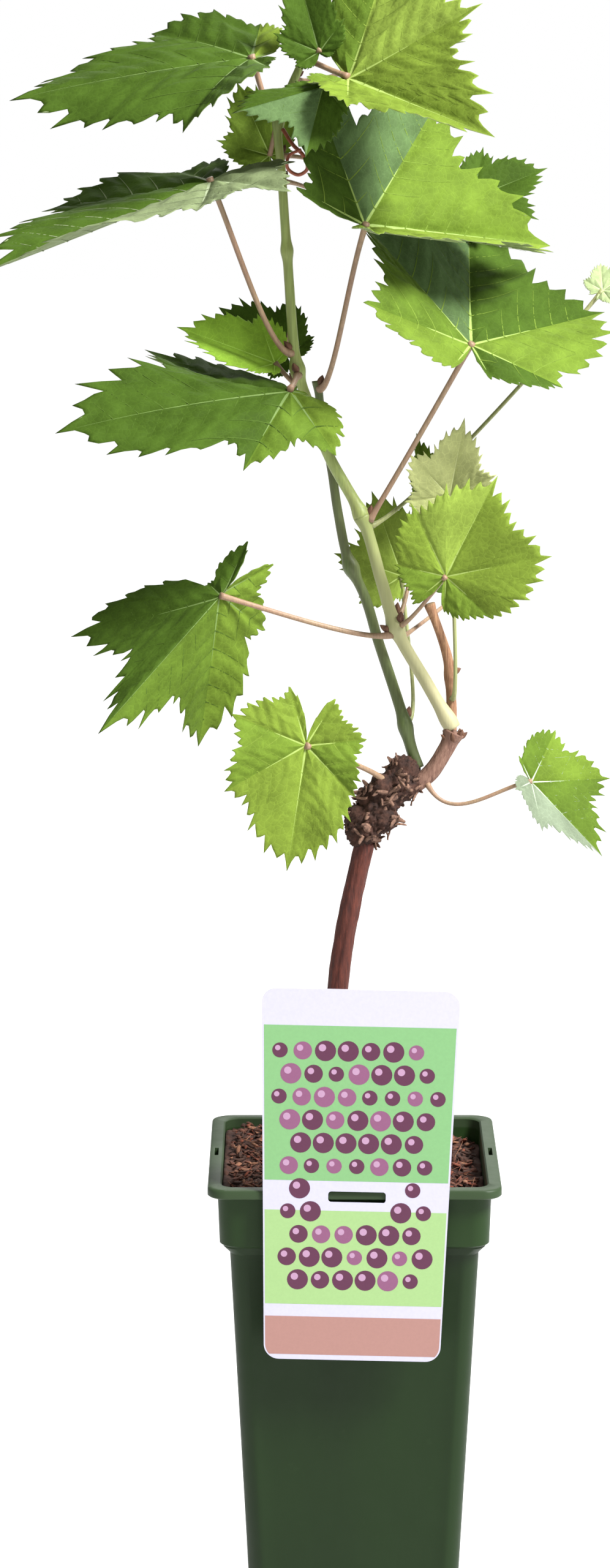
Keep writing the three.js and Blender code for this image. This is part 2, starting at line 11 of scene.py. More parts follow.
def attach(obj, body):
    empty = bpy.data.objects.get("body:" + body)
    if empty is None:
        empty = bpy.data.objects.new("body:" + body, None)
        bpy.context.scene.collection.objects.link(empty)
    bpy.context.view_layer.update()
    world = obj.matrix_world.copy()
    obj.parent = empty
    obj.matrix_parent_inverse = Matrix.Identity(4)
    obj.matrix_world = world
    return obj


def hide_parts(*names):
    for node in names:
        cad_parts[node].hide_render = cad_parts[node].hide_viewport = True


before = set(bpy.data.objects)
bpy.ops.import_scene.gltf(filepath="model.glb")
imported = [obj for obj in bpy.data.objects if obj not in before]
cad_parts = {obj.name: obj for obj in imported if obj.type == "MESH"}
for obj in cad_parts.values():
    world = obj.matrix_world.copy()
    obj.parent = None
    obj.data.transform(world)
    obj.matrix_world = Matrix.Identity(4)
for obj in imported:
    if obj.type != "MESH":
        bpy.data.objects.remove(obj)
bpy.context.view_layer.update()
MM = 0.001

# ---- sizes shared with the part's source, in mm
POT_HEIGHT = 200
LIP = {"half": 57.5, "height": 4, "bore": 52}
COLLAR = {"top": 53.6, "foot": 52.9, "height": 20.5}
BODY = {"top": 49.2, "foot": 40.2}
WALL = 1.5
FLOOR_THICK = 3
CORNER = 7.5
LIP_FOOT = POT_HEIGHT - LIP["height"]
COLLAR_FOOT = LIP_FOOT - COLLAR["height"]
LIP_SLOT = {"at": 54.8, "half": (0.8, 5.5, 3.0)}
DRAIN = {"at": 26, "radius": 5}
SOIL = {"level": 194, "lean": 0.06, "lumps": 1.2}
CARD = {"top": 76.6, "foot": 69.2, "height": 149, "thick": 0.7, "corner": 6, "lean": 1.3}
CARD_CENTRE = (0.6, 206)
CARD_SLOT = {"wide": 22.4, "high": 4.4, "corner": 1.2, "at": (1, 197.6)}
GRAFT = {"from": (3.5, -3, 332), "to": (19.5, 0.5, 355), "core": (7.4, 6.6)}
LUMPS = [
    (-0.05, 5, 60), (0.1, 5, 190), (0.3, 5.6, 330), (0.42, 5.4, 175),
    (0.5, 5.6, 110), (0.65, 5.4, 215), (0.85, 5.4, 350), (1.05, 4.8, 60),
]  # share of the graft's length, radius and turn
LOBE_ANGLES = (0, 52, 104, 156)
LOBE_WIDTH, LOBE_FULLNESS = 56, 0.5
TOOTH_STEP, TOOTH_DEPTH = 6.5, 0.05
PLEAT = 0.16


# ---- curves and limbs
SPAN_STEPS, STALK_STEPS = 40, 48  # points of a curve between two of its knots, and along a stalk


def unit(v):
    return v / np.linalg.norm(v, axis=-1, keepdims=True)


class Path:
    """A curve read by its share of length."""

    def __init__(self, dense):
        self.dense = np.asarray(dense, float)
        steps = np.linalg.norm(np.diff(self.dense, axis=0), axis=1)
        self.sums = np.concatenate([[0], np.cumsum(steps)])
        self.length = self.sums[-1]

    def at(self, share):
        where = np.asarray(share, float) * self.length
        return np.stack([np.interp(where, self.sums, self.dense[:, k]) for k in range(3)], axis=-1)

    def tangent(self, share):
        low = np.clip(np.asarray(share, float) - 0.002, 0, 1)
        high = np.clip(np.asarray(share, float) + 0.002, 0, 1)
        return unit(self.at(high) - self.at(low))


def smooth_path(points):
    """The centripetal Catmull-Rom curve through the points, as the part's source makes it."""
    p = np.asarray(points, float)
    p = np.vstack([2 * p[0] - p[1], p, 2 * p[-1] - p[-2]])
    dense = []
    for k in range(1, len(p) - 2):
        a, b, c, d = p[k - 1:k + 3]
        d0, d1, d2 = (np.sqrt(np.linalg.norm(v)) for v in (b - a, c - b, d - c))
        m1 = ((b - a) / d0 - (c - a) / (d0 + d1) + (c - b) / d1) * d1
        m2 = ((c - b) / d1 - (d - b) / (d1 + d2) + (d - c) / d2) * d1
        t = np.linspace(0, 1, SPAN_STEPS, endpoint=False)[:, None]
        dense.append(b + m1 * t + (3 * (c - b) - 2 * m1 - m2) * t**2 + (2 * (b - c) + m1 + m2) * t**3)
    dense.append(p[-2][None])
    return Path(np.vstack(dense))


def bezier_path(a, b, c, d):
    t = np.linspace(0, 1, STALK_STEPS)[:, None]
    return Path((1 - t)**3 * a + 3 * (1 - t)**2 * t * b + 3 * (1 - t) * t**2 * c + t**3 * d)


class Limb:
    """A stem of the part's source: its path, end radii, knots (share, rise, reach) and flared foot."""

    def __init__(self, points, radii, knots=(), flare=None):
        self.points, self.radii, self.knots, self.flare = points, radii, knots, flare
        self.path = smooth_path(points)

    def radius(self, share):
        share = np.asarray(share, float)
        low, high = self.radii
        radius = low + (high - low) * share
        for at, extra, reach in self.knots:
            radius = radius + extra * np.exp(-(((share - at) / reach)**2))
        if self.flare:
            extra, reach = self.flare
            radius = radius + extra * np.exp(-share * self.path.length / reach)
        return radius


LIMBS = {
    "trunk": Limb([(-12.2, -8, 188), (-8.5, -7, 240), (-4.5, -5.5, 285), (5, -3, 331)], (4.4, 3.7),
                  flare=(3.4, 16)),
    "spur": Limb([(24, 0, 349.5), (30.5, 0, 355), (35.5, 0, 363), (39.3, 0, 371)], (3.2, 3.1),
                 [(1, 1.2, 0.12)]),
    "stub": Limb([(38.5, 6.8, 370), (38.5, 8, 380), (37, 7, 398), (29.5, 5, 421)], (2.1, 1.6),
                 [(0.42, 0.6, 0.08), (1, 0.5, 0.06)]),
    "main": Limb(
        [(38.8, 0, 372.4), (29.2, 0, 389), (16.8, 0, 411), (10.5, 0, 431), (3, 0, 456), (-10, 0, 480),
         (-17.7, 0, 500), (-22.3, 0, 514), (-26.5, 0, 562), (-28.5, 0, 591), (-29.7, 0.5, 609),
         (-25, 3, 622), (-19, 6, 636), (-16, 9, 652), (-13, 11, 668), (-8, 12, 684)],
        (2.6, 1.3),
        [(0.01, 0.9, 0.016), (0.14, 1.3, 0.011), (0.28, 1.2, 0.013), (0.47, 1.2, 0.011),
         (0.61, 0.7, 0.009), (0.76, 0.9, 0.01)]),
    "side": Limb(
        [(25.5, 4.5, 355.5), (23, 5.5, 362), (18.5, 7, 378), (10, 9, 404), (4.6, 10, 422),
         (-2.8, 10, 439), (-6.5, 10, 457), (-9.4, 11, 476), (-13, 13, 495), (-14.5, 14, 508)],
        (2.3, 1.6), [(0.11, 0.9, 0.025), (0.53, 1.4, 0.025), (1, 0.7, 0.02)]),
    "tendril": Limb(
        [(-27.85, -2.15, 606.6), (-24, -7, 601), (-20, -9, 597), (-18.5, -8, 592), (-22, -6, 589.5),
         (-26, -7, 592), (-25.5, -9.5, 597), (-21, -12, 599.5)],
        (0.85, 0.6)),
}


# ---- meshes
SQUARE = ((-1, -1), (1, -1), (1, 1), (-1, 1))


def add_object(name, data):
    thing = bpy.data.objects.new(name, data)
    bpy.context.scene.collection.objects.link(thing)
    return thing


def make_piece(name, points, faces, materials, replaced=(), kinds=None, smooth=True):
    """A mesh object from points in mm. kinds gives each face its material's place in the list."""
    mesh = bpy.data.meshes.new(name)
    mesh.from_pydata((np.asarray(points, float) * MM).tolist(), [], faces)
    for material in materials:
        mesh.materials.append(material)
    if kinds is not None:
        mesh.polygons.foreach_set("material_index", np.asarray(kinds, np.int32))
    mesh.polygons.foreach_set("use_smooth", np.full(len(mesh.polygons), smooth))
    mesh.validate()
    mesh.update()
    piece = add_object(name, mesh)
    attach(piece, "root")
    if replaced:
        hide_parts(*replaced)
    return piece


def ring_faces(rows, columns, start=0, closed=True):
    """The quads of a grid of rows of points, each row a ring if closed."""
    faces = []
    for r in range(rows - 1):
        a = start + r * columns
        for k in range(columns if closed else columns - 1):
            n = (k + 1) % columns
            faces.append((a + k, a + n, a + columns + n, a + columns + k))
    return faces


def end_fans(rows, columns):
    """The triangles that close a tube of rings with the two middle points that follow its rings."""
    low, high, top = rows * columns, rows * columns + 1, (rows - 1) * columns
    faces = []
    for k in range(columns):
        n = (k + 1) % columns
        faces += [(low, n, k), (high, top + k, top + n)]
    return faces


def grid_edge(rows, columns):
    """The points round the edge of an open grid, in order."""
    return [
        *range(columns),
        *(r * columns + columns - 1 for r in range(1, rows)),
        *(rows * columns - 1 - k for k in range(1, columns)),
        *(r * columns for r in range(rows - 2, 0, -1)),
    ]


def arc(x, y, radius, turns):
    return [(x + radius * math.cos(turn), y + radius * math.sin(turn)) for turn in turns]


def turned(faces):
    return [tuple(reversed(face)) for face in faces]


class Build:
    """Gathers points and faces of several forms into one piece."""

    def __init__(self):
        self.points, self.faces, self.kinds, self.count = [], [], [], 0

    def add(self, points, faces, kind=0):
        self.points.append(np.asarray(points, float))
        self.faces += [tuple(self.count + i for i in f) for f in faces]
        self.kinds += [kind] * len(faces) if np.isscalar(kind) else list(kind)
        self.count += len(points)

    def piece(self, name, materials, slot, replaced=(), smooth=True):
        points = np.vstack(self.points)
        return make_piece(name, points, self.faces, materials, replaced, self.kinds, smooth)


def sweep(path, radius, sides, spacing, relief=None, span=(0, 1)):
    """Points and faces of a closed tube on a path. relief(turn, height) is added to its radius."""
    rows = max(3, int(round(path.length * (span[1] - span[0]) / spacing)) + 1)
    shares = np.linspace(*span, rows)
    across = np.array([1.0, 0, 0])
    turns = np.arange(sides) * 2 * np.pi / sides
    centres = path.at(shares)
    points = []
    for share, centre, way in zip(shares, centres, path.tangent(shares)):
        across = unit(across - way * np.dot(across, way))
        other = np.cross(way, across)
        out = np.cos(turns)[:, None] * across + np.sin(turns)[:, None] * other
        reach = np.full(sides, float(radius(share)))
        if relief:
            reach = reach + np.array([relief(turn, centre[2]) for turn in turns])
        points.append(centre + out * reach[:, None])
    points = np.vstack(points + [centres[:1], centres[-1:]])
    return points, ring_faces(rows, sides) + end_fans(rows, sides)


def wobble(x, y, z, scale, seed=0):
    return noise.noise(Vector((x * scale + seed * 7.3, y * scale - seed * 3.1, z * scale + seed)))


def around(across, other, turn):
    """The direction at a turn in radians from across towards other."""
    return across * math.cos(turn) + other * math.sin(turn)


# ---- materials
WHITE, BLACK = (1, 1, 1, 1), (0, 0, 0, 1)


def srgb(color):
    """A colour of 0 to 255 as linear light."""
    shares = (c / 255 for c in color)
    return (*(c / 12.92 if c <= 0.04045 else ((c + 0.055) / 1.055)**2.4 for c in shares), 1)


def shade(color, by):
    return (*(min(1, c * by) for c in color[:3]), 1)


class Nodes:
    """Builds one material. Wherever a value goes into a socket, another node's output may go instead."""

    def __init__(self, name):
        self.material = bpy.data.materials.new(name)
        self.material.use_nodes = True
        self.tree = self.material.node_tree
        self.shader = self.tree.nodes["Principled BSDF"]
        self.position = self.new("TexCoord").outputs["Object"]

    def new(self, kind):
        return self.tree.nodes.new("ShaderNode" + kind)

    def fill(self, node, sockets):
        """Sets or links a node's sockets, given by name or number, and returns its outputs."""
        for name, value in sockets.items():
            if isinstance(value, bpy.types.NodeSocket):
                self.tree.links.new(value, node.inputs[name])
            else:
                node.inputs[name].default_value = value
        return node.outputs

    def place(self, stretch):
        return self.fill(self.new("Mapping"), {"Scale": stretch, "Vector": self.position})["Vector"]

    def noise(self, scale, detail=4, rough=0.55, where=None):
        sockets = {"Scale": scale, "Detail": detail, "Roughness": rough, "Vector": where or self.position}
        return self.fill(self.new("TexNoise"), sockets)["Fac"]

    def streaks(self, detail, rough, stretch):
        return self.noise(1, detail, rough, self.place(stretch))

    def cells(self, scale, where=None, feature="DISTANCE_TO_EDGE"):
        node = self.new("TexVoronoi")
        node.feature = feature
        return self.fill(node, {"Scale": scale, "Vector": where or self.position})["Distance"]

    def ramp(self, value, *stops):
        node = self.new("ValToRGB")
        elements = node.color_ramp.elements
        while len(elements) < len(stops):
            elements.new(0.5)
        for element, (at, color) in zip(elements, stops):
            element.position = at
            element.color = color
        return self.fill(node, {"Fac": value})["Color"]

    def mottle(self, value, color, dark, light, at=(0.3, 0.7)):
        """A colour, darker where the value is low and lighter where it is high."""
        return self.ramp(value, (at[0], shade(color, dark)), (at[1], shade(color, light)))

    def mix(self, factor, a, b):
        node = self.new("Mix")
        node.data_type = "RGBA"
        return self.fill(node, {"Factor": factor, "A": a, "B": b})["Result"]

    def maths(self, operation, a, b):
        node = self.new("Math")
        node.operation = operation
        return self.fill(node, {0: a, 1: b})["Value"]

    def mask(self, value, full, none, amount):
        """The amount where the value is at full, fading to 0 where it is at none."""
        fade = self.ramp(value, *sorted([(full, WHITE), (none, BLACK)]))
        return self.maths("MULTIPLY", fade, amount)

    def spread(self, value, low, high):
        return self.fill(self.new("MapRange"), {"To Min": low, "To Max": high, "Value": value})["Result"]

    def rise(self, low, high):
        """From 0 to 1 between two heights in metres."""
        height = self.fill(self.new("SeparateXYZ"), {"Vector": self.position})["Z"]
        sockets = {"From Min": low, "From Max": high, "Value": height}
        return self.fill(self.new("MapRange"), sockets)["Result"]

    def bump(self, height, strength, distance, **below):
        sockets = {"Strength": strength, "Distance": distance, "Height": height, **below}
        return self.fill(self.new("Bump"), sockets)["Normal"]

    def finish(self, color, rough, normal, shine):
        sockets = {"Base Color": color, "Roughness": rough, "Normal": normal, "Specular IOR Level": shine}
        self.fill(self.shader, sockets)
        return self.material


VEINLETS = 430  # meshes in a metre of a leaf's fine net
STEP_BLUR = 0.0005  # half the height in metres over which the pot's tone changes at a step


def leaf_material(name, color, rough):
    """A dull blade: patches of lighter and darker green over a fine net of veinlets."""
    n = Nodes(name)
    patches, fine, net = n.noise(70, 4), n.noise(420, 2), n.cells(VEINLETS)
    tone = n.ramp(patches, (0.32, shade(color, 0.74)), (0.52, color), (0.7, shade(color, 1.25)))
    tone = n.mix(n.spread(fine, 0.0, 0.35), tone, shade(color, 0.7))
    tone = n.mix(n.mask(net, 0.0, 0.05, 0.28), tone, shade(color, 1.7))
    height = n.maths("ADD", n.maths("MINIMUM", net, 0.35), n.maths("MULTIPLY", fine, 0.25))
    normal = n.bump(height, 0.28, 0.0005)
    return n.finish(tone, n.spread(patches, rough + 0.1, rough + 0.26), normal, 0.03)


def underside_material(name, color):
    """The lower side: paler, greyer and felted, with a raised net."""
    n = Nodes(name)
    patches, felt, net = n.noise(60, 3), n.noise(1500, 2), n.cells(VEINLETS)
    tone = n.mix(n.spread(felt, 0.0, 0.3), n.mottle(patches, color, 0.85, 1.12), shade(color, 1.25))
    height = n.maths("ADD", n.maths("MULTIPLY", net, -0.8), n.maths("MULTIPLY", felt, 0.4))
    return n.finish(tone, 0.75, n.bump(height, 0.5, 0.0004), 0.15)


def vein_material(name, color, rough, shine):
    n = Nodes(name)
    grain = n.noise(300, 3)
    normal = n.bump(grain, 0.2, 0.0002)
    return n.finish(n.mottle(grain, color, 0.85, 1.1), rough, normal, shine)


def print_material(name, color):
    """Card and ink: smooth, with a trace of paper grain."""
    n = Nodes(name)
    grain = n.noise(900, 2)
    tone = n.mottle(grain, srgb(color), 0.97, 1.02)
    return n.finish(tone, 0.45, n.bump(grain, 0.1, 0.0001), 0.4)


def bark_material(name, light, dark, rough=0.8, grain=(900, 900, 110), depth=0.0006):
    """Wood, bark or soil: fine streaks along the grain, darker blotches and tiny pores."""
    n = Nodes(name)
    light, dark = srgb(light), srgb(dark)
    streaks, blotches = n.streaks(6, 0.65, grain), n.noise(120, 4)
    pores = n.cells(700, n.place((1, 1, 0.35)), "F1")
    tone = n.ramp(streaks, (0.32, dark), (0.68, light))
    tone = n.mix(n.spread(blotches, 0.0, 0.55), tone, shade(dark, 0.8))
    tone = n.mix(n.mask(pores, 0.1, 0.2, 0.35), tone, shade(light, 1.25))
    normal = n.bump(n.maths("ADD", streaks, n.maths("MULTIPLY", blotches, 0.5)), 0.6, depth)
    gloss = n.spread(streaks, rough - 0.08, min(1.0, rough + 0.08))
    return n.finish(tone, gloss, normal, 0.35)


def cane_material(name, color, blush, amount=0.35, foot=None, heights=None):
    """Green cane: fine ridges, a blush in long patches, and below the two heights a foot's own colour."""
    n = Nodes(name)
    color = srgb(color)
    ridges, patches = n.streaks(3, 0.5, (1300, 1300, 60)), n.streaks(3, 0.5, (160, 160, 35))
    if foot:
        foot = srgb(foot)
        color = n.mix(n.rise(*heights), foot, color)
        tone = n.mix(n.spread(ridges, 0.0, 0.35), color, shade(foot, 0.4))
    else:
        tone = n.mottle(ridges, color, 0.82, 1.12, (0.35, 0.65))
    tone = n.mix(n.spread(patches, -amount, 1.6 * amount), tone, srgb(blush))
    gloss = n.spread(patches, 0.42, 0.56)
    return n.finish(tone, gloss, n.bump(ridges, 0.35, 0.0003), 0.4)


def pot_material():
    """Moulded plastic: fine grain, faint flow marks, a little dust, and a collar and lip that are
    paler, partly with wear and partly as painted light falling from above and in front.
    """
    n = Nodes("pot_plastic")
    flow, dust, grain = n.streaks(4, 0.5, (30, 30, 9)), n.noise(90, 6, 0.7), n.noise(2600, 2)
    tone = n.mottle(flow, srgb((20, 39, 10)), 0.88, 1.12)
    # the paler collar and lip: partly wear, partly painted light where light falls from above and in front
    for step, color in ((COLLAR_FOOT * MM, (27, 48, 16)), (LIP_FOOT * MM, (46, 61, 38))):
        tone = n.mix(n.rise(step - STEP_BLUR, step + STEP_BLUR), tone, srgb(color))
    tone = n.mix(n.mask(dust, 0.8, 0.6, 0.25), tone, srgb((44, 60, 36)))
    normal = n.bump(grain, 0.12, 0.00015, Normal=n.bump(flow, 0.25, 0.0006))
    return n.finish(tone, n.spread(dust, 0.36, 0.62), normal, 0.2)


EVEN = (500, 500, 500)
MATERIALS = {
    "pot": pot_material(),
    "trunk": bark_material("rootstock_bark", (104, 50, 36), (56, 24, 18), 0.7),
    "callus": bark_material("callus_bark", (86, 56, 44), (30, 18, 14), 0.9, (320, 320, 320), 0.0014),
    "spur": bark_material("spur_bark", (156, 122, 104), (92, 62, 52), 0.82),
    "stub": bark_material("dry_wood", (178, 140, 106), (112, 74, 54), 0.85, (1500, 1500, 90)),
    "flake": bark_material("lifting_bark", (150, 116, 96), (58, 38, 32), 0.9, EVEN),
    "cut": bark_material("cut_face", (160, 132, 100), (116, 86, 62), 0.9, (700, 700, 700)),
    "cane": cane_material(
        "green_cane", (118, 134, 64), (100, 112, 52), 0.3, (184, 176, 138), (0.375, 0.47)),
    "cane_top": cane_material("cane_top", (132, 146, 80), (136, 122, 84)),
    "side": cane_material("side_cane", (84, 98, 54), (80, 70, 50), 0.5),
    "bud": bark_material("bud_scales", (122, 86, 62), (66, 38, 28), 0.7),
    "stalk": cane_material("stalk_pink", (142, 118, 92), (138, 98, 84), 0.5),
    "stalk_green": cane_material("stalk_green", (134, 140, 90), (136, 118, 90), 0.3),
    "tendril": cane_material("tendril_skin", (140, 72, 50), (110, 56, 40)),
    "soil": bark_material("compost_bed", (84, 54, 42), (44, 27, 22), 0.95, (260, 260, 260), 0.001),
    "card": print_material("card_board", (180, 178, 196)),
}
CHIPS = [
    bark_material("chip_" + name, light, dark, 0.9, EVEN) for name, light, dark in (
        ("brown", (114, 72, 54), (68, 40, 32)), ("dark", (74, 48, 36), (44, 28, 22)),
        ("tan", (148, 104, 78), (106, 70, 52)), ("red", (132, 70, 46), (84, 42, 30)))
]
INKS = [
    print_material("print_" + name, color) for name, color in (
        ("green", (112, 158, 104)), ("soft_green", (140, 172, 112)), ("foot_pink", (152, 112, 104)),
        ("plum", (78, 30, 58)), ("rose", (122, 72, 104)), ("shine", (164, 128, 156)))
]
GREEN, SOFT_GREEN, FOOT_PINK, PLUM, ROSE, SHINE = range(6)
VEIN_LIFT, UNDER_LIFT, RIB_LIFT = 44, 24, 9  # how much paler than the blade its veins are, of 255


def leaf_set(name, upper, rough, under):
    """One tone's materials, in the order of the names below."""
    def paler(color, lift):
        return srgb([min(255, c + lift) for c in color])
    return [
        leaf_material("leaf_top_" + name, srgb(upper), rough),
        underside_material("leaf_under_" + name, srgb(under)),
        vein_material("vein_top_" + name, paler(upper, VEIN_LIFT), 0.6, 0.15),
        vein_material("vein_under_" + name, paler(under, UNDER_LIFT), 0.7, 0.15),
        MATERIALS["stalk_green" if name in ("young", "pale", "lime") else "stalk"],
        vein_material("rib_top_" + name, paler(upper, RIB_LIFT), 0.7, 0.03),
    ]


TOP, UNDER, VEIN_TOP, VEIN_UNDER, STALK, RIB_TOP, SECTOR_TOPS = range(7)
# Greens of the upper and lower sides, dark to light. Young leaves are paler of their own, but much of the
# spread is painted light and shade: the lighter tones paint lit fields and brighten leaves that stand in
# shade, the young tone among them; the darker ones paint shaded fields; the bluish tone is a painted sheen
# and the frosted grey-green one painted highlights.
TONES = {name: leaf_set(name, upper, rough, under) for name, upper, rough, under in (
    ("deep", (60, 82, 26), 0.46, (106, 118, 80)), ("blue", (80, 102, 62), 0.42, (104, 118, 84)),
    ("mid", (80, 102, 34), 0.46, (112, 126, 78)), ("split", (94, 116, 40), 0.48, (118, 132, 84)),
    ("bright", (106, 126, 46), 0.48, (128, 142, 84)), ("lime", (120, 140, 58), 0.5, (138, 150, 98)),
    ("sunlit", (140, 178, 62), 0.5, (150, 162, 100)), ("pale", (142, 156, 112), 0.5, (150, 160, 120)),
    ("young", (182, 188, 126), 0.5, (176, 182, 136)), ("frost", (118, 130, 108), 0.5, (140, 150, 128)),
    ("grey", (112, 124, 88), 0.6, (112, 124, 88)),
)}


# ---- leaves
# The limb a leaf is on and at what share of it, the blade's foot and tip, the way its upper side
# faces, its halves' folds in degrees, their lobes' lengths as shares of the middle lobe's, and a tone
# for the whole leaf or for each field between its main veins from the left rear round; tones dealt
# out by field paint light and shade on the halves and lobes. Then, where a leaf has its own: its
# stalk's foot, way out and bow, and its blade's lift, arch and lobe width.
Leaf = namedtuple(
    "Leaf", "on share at tip face fold left right tone foot out bow lift arch width",
    defaults=(None, None, (0, 0, 0), (0, 0), 0, LOBE_WIDTH))
PLAIN = (0.8, 0.6, 0.4)
LEAVES = [
    Leaf("main", 0.765, (-40, -5, 635), (-125, -12, 618), (0, -0.35, 1), (-38, -12), (0.62, 0.2, 0.05),
         (0.62, 0.34, 0.08), "deep deep deep deep deep bright", lift=(96, 30), arch=6, width=60),
    Leaf("main", 0.49, (-56, -15, 589), (-133, -63, 560), (0, 0, 1), (16, 4), (0.5, 0.42, 0.34),
         (0.72, 0.4, 0.1), "grey grey grey deep deep deep", lift=(-40, -12)),
    Leaf("main", 0.84, (-3, -8, 627), (47, -45, 609), (0, -0.75, 0.65), (20, 35), (0.84, 0.8, 0.05),
         (0.5, 0.3, 0.05), "mid lime bright bright bright split"),
    Leaf("main", 0.79, (-12, -14, 624), (-44, -31, 616), (0, 0, 1), (-60, 6), (0.85, 0.4, 0.05),
         (0.5, 0.1, 0.05), "deep deep blue deep deep deep"),
    Leaf("main", 0.895, (-14, -3, 636), (-22, -3, 665), (0, -1, 0.1), (10, 10), (0.6, 0.35, 0.05),
         (0.5, 0.2, 0.05), "deep"),
    Leaf("side", 0.98, (4, -20, 572), (72, 20, 562), (0.55, -0.72, 0.45), (0, 60), (0.86, 0.66, 0.38),
         (0.5, 0.25, 0.1), "deep blue split bright bright split"),
    Leaf("main", 0.272, (45, -15, 526), (45, 49, 567), (0.32, -0.48, 0.75), (18, 0), (0.82, 0.68, 0.1),
         (0.9, 0.5, 0.25), "split mid blue deep split deep", bow=(-4, 0, 6), width=64),
    Leaf("main", 0.264, (98, 38, 541), (112, 45, 550), (0, -0.6, 0.8), (10, 10), (0.7, 0.5, 0.3),
         (0.7, 0.5, 0.3), "pale"),
    Leaf("main", 0.72, (47, 46, 577), (74, 56, 587), (0, -0.8, 0.6), (10, 10), (0.7, 0.5, 0.3),
         (0.86, 0.7, 0.4), "deep"),
    Leaf("main", 0.464, (-25, -22, 509), (-109, -42, 497), (0, -0.45, 1), (-20, 18), (0.5, 0.4, 0.08),
         (0.76, 0.1, 0.05), "split mid deep deep deep deep", lift=(0, -90), arch=5, width=48),
    Leaf("main", 0.452, (-31, 6, 516), (-66, 11, 529), (0, -0.6, 0.8), (10, 10), (0.36, 0.2, 0.05),
         (0.6, 0.2, 0.05), "sunlit"),
    Leaf("main", 0.54, (-27, 32, 516), (-52, 46, 533), (0, -0.8, 0.6), (10, 10), (0.6, 0.4, 0.1),
         (0.7, 0.4, 0.1), "deep", bow=(2, 9, 0)),
    Leaf("main", 0.135, (-52, -25, 429), (-94, -52, 385), (0.26, -0.89, 0.36), (-45, -54),
         (0.95, 0.5, 0.42), (0.94, 0.2, 0.42), "split split mid deep deep deep", width=46),
    Leaf(None, None, (-19, -30, 371), (-26, -36, 326), (0.1, -1, 0.25), (5, 5), (0.58, 0.5, 0.46),
         (0.76, 0.66, 0.5), "bright split bright bright split bright", foot=(12, -5, 352),
         out=(-0.3, -0.4, 1), arch=5, width=75),
    Leaf("spur", 0.16, (70, -5, 352), (96, -8, 325), (0.85, -0.45, 0.2), (20, 5), (0.9, 0.7, 0.3),
         (0.64, 0.34, 0.15), "mid split mid frost frost frost", out=(0.2, -0.5, -0.8), bow=(6, 0, -14)),
    Leaf("main", 0.141, (35, -22, 436), (53, -18, 471), (-0.1, -0.95, 0.3), (5, 5), (0.74, 0.5, 0.42),
         (1, 0.55, 0.2), "split bright lime bright bright split", arch=5, width=84),
    Leaf("stub", 0.25, (37, 1, 464), (42, -2, 492), (0, -1, 0.3), (15, 15), (0.8, 0.6, 0.3),
         (0.7, 0.5, 0.3), "young"),
    Leaf("main", 0.15, (27, 22, 462), (25, 20, 484), (0.3, -1, 0.3), (50, 50), (0.6, 0.4, 0.2),
         (0.6, 0.4, 0.2), "split"),
    Leaf("side", 0.12, (19, 26, 429), (8, 36, 459), (0, -1, 0.3), (5, 5), (0.8, 0.6, 0.3),
         (0.8, 0.5, 0.1), "lime"),
    Leaf("main", 0.755, (-33, 9, 596), (-45, 14, 622), (0, -1, 0.3), (15, 15), (0.7, 0.5, 0.3),
         (0.6, 0.3, 0.2), "split"),
] + [
    Leaf("main", share, at, tip, (0, 0.3, 1), (8, 8), PLAIN, right, tone, arch=6)
    for share, at, tip, right, tone in (
        (0.125, (46, 42, 424), (54, 78, 434), PLAIN, "deep"),
        (0.41, (-45, 42, 484), (-70, 78, 476), (0.75, 0.55, 0.4), "mid"),
        (0.69, (38, 66, 556), (46, 104, 548), PLAIN, "deep"),
        (0.815, (16, 42, 634), (26, 76, 630), PLAIN, "mid"))
] + [
    Leaf("main", 0.985, (-16, 22, 694), (-34, 34, 706), (0, -0.3, 1), (25, 25), PLAIN, PLAIN, "lime"),
    Leaf("main", 0.975, (4, 2, 698), (18, -10, 708), (0, -0.3, 1), (30, 30), PLAIN, PLAIN, "lime"),
]
MAIN_VEINS = [way * at for way in (1, -1) for at in LOBE_ANGLES if at or way > 0]
TOOTH_POINTS = 4
BIG_LEAF = 45  # length in mm above which a blade has the finer mesh, stronger waves and a full stalk
SKIN, RIM = 0.2, 0.06  # half the blade's thickness in mm, and at its rim
BLUNT = 0.0006, 0.0245  # rounds the crease along the midrib
SIDE_TURN, SIDE_BEND = 1.07, 0.8  # radians between a side vein and its main vein, and its curve
SIDE_SLANT = 0.55  # how far a side vein runs along its main vein for each mm it runs out
FIELD = LOBE_ANGLES[1] / 2  # degrees from a main vein to the end of its field
FAR = 1e3
# shares of the leaf's length
SIDE_STEP, SIDE_LONGEST, SIDE_STRIDE = 0.115, 0.6, 0.02
QUILT, QUILT_REACH, GROOVE, GROOVE_REACH, SINK = 0.019, 0.05, 0.006, 0.02, 0.013
WAVES = ((0.022, 5, 1), (0.012, 11, 2))  # height, waves to a turn, share of the seed


def half_reach(lobes, angle, width):
    """One half's reach at angles from the midrib in degrees, as shares of the leaf's length."""
    reach = np.zeros_like(angle)
    for length, at in zip((1, *lobes), LOBE_ANGLES):
        off = np.minimum(1, np.abs(angle - at) / width)
        reach = np.maximum(reach, length * (1 - off)**LOBE_FULLNESS)
    return reach * np.clip((180 - angle) / 20, 0.12, 1)


def tooth_height(angle):
    """The saw edge, from -1 in a nick to 1 at a point. Each point leans towards the nearest lobe's tip."""
    share = (angle / TOOTH_STEP) % 1
    fall = 0.62
    return np.where(
        share < fall, 1 - 2 * (share / fall)**0.8, -1 + 2 * ((share - fall) / 0.38)**1.4)


def sector(angle):
    """The field between two main veins that holds a signed angle, 0 to 5 from the left rear round."""
    angle = (angle + 180) % 360 - 180
    outward = min(2, int(abs(angle) / LOBE_ANGLES[1]))
    return 2 - outward if angle >= 0 else 3 + outward


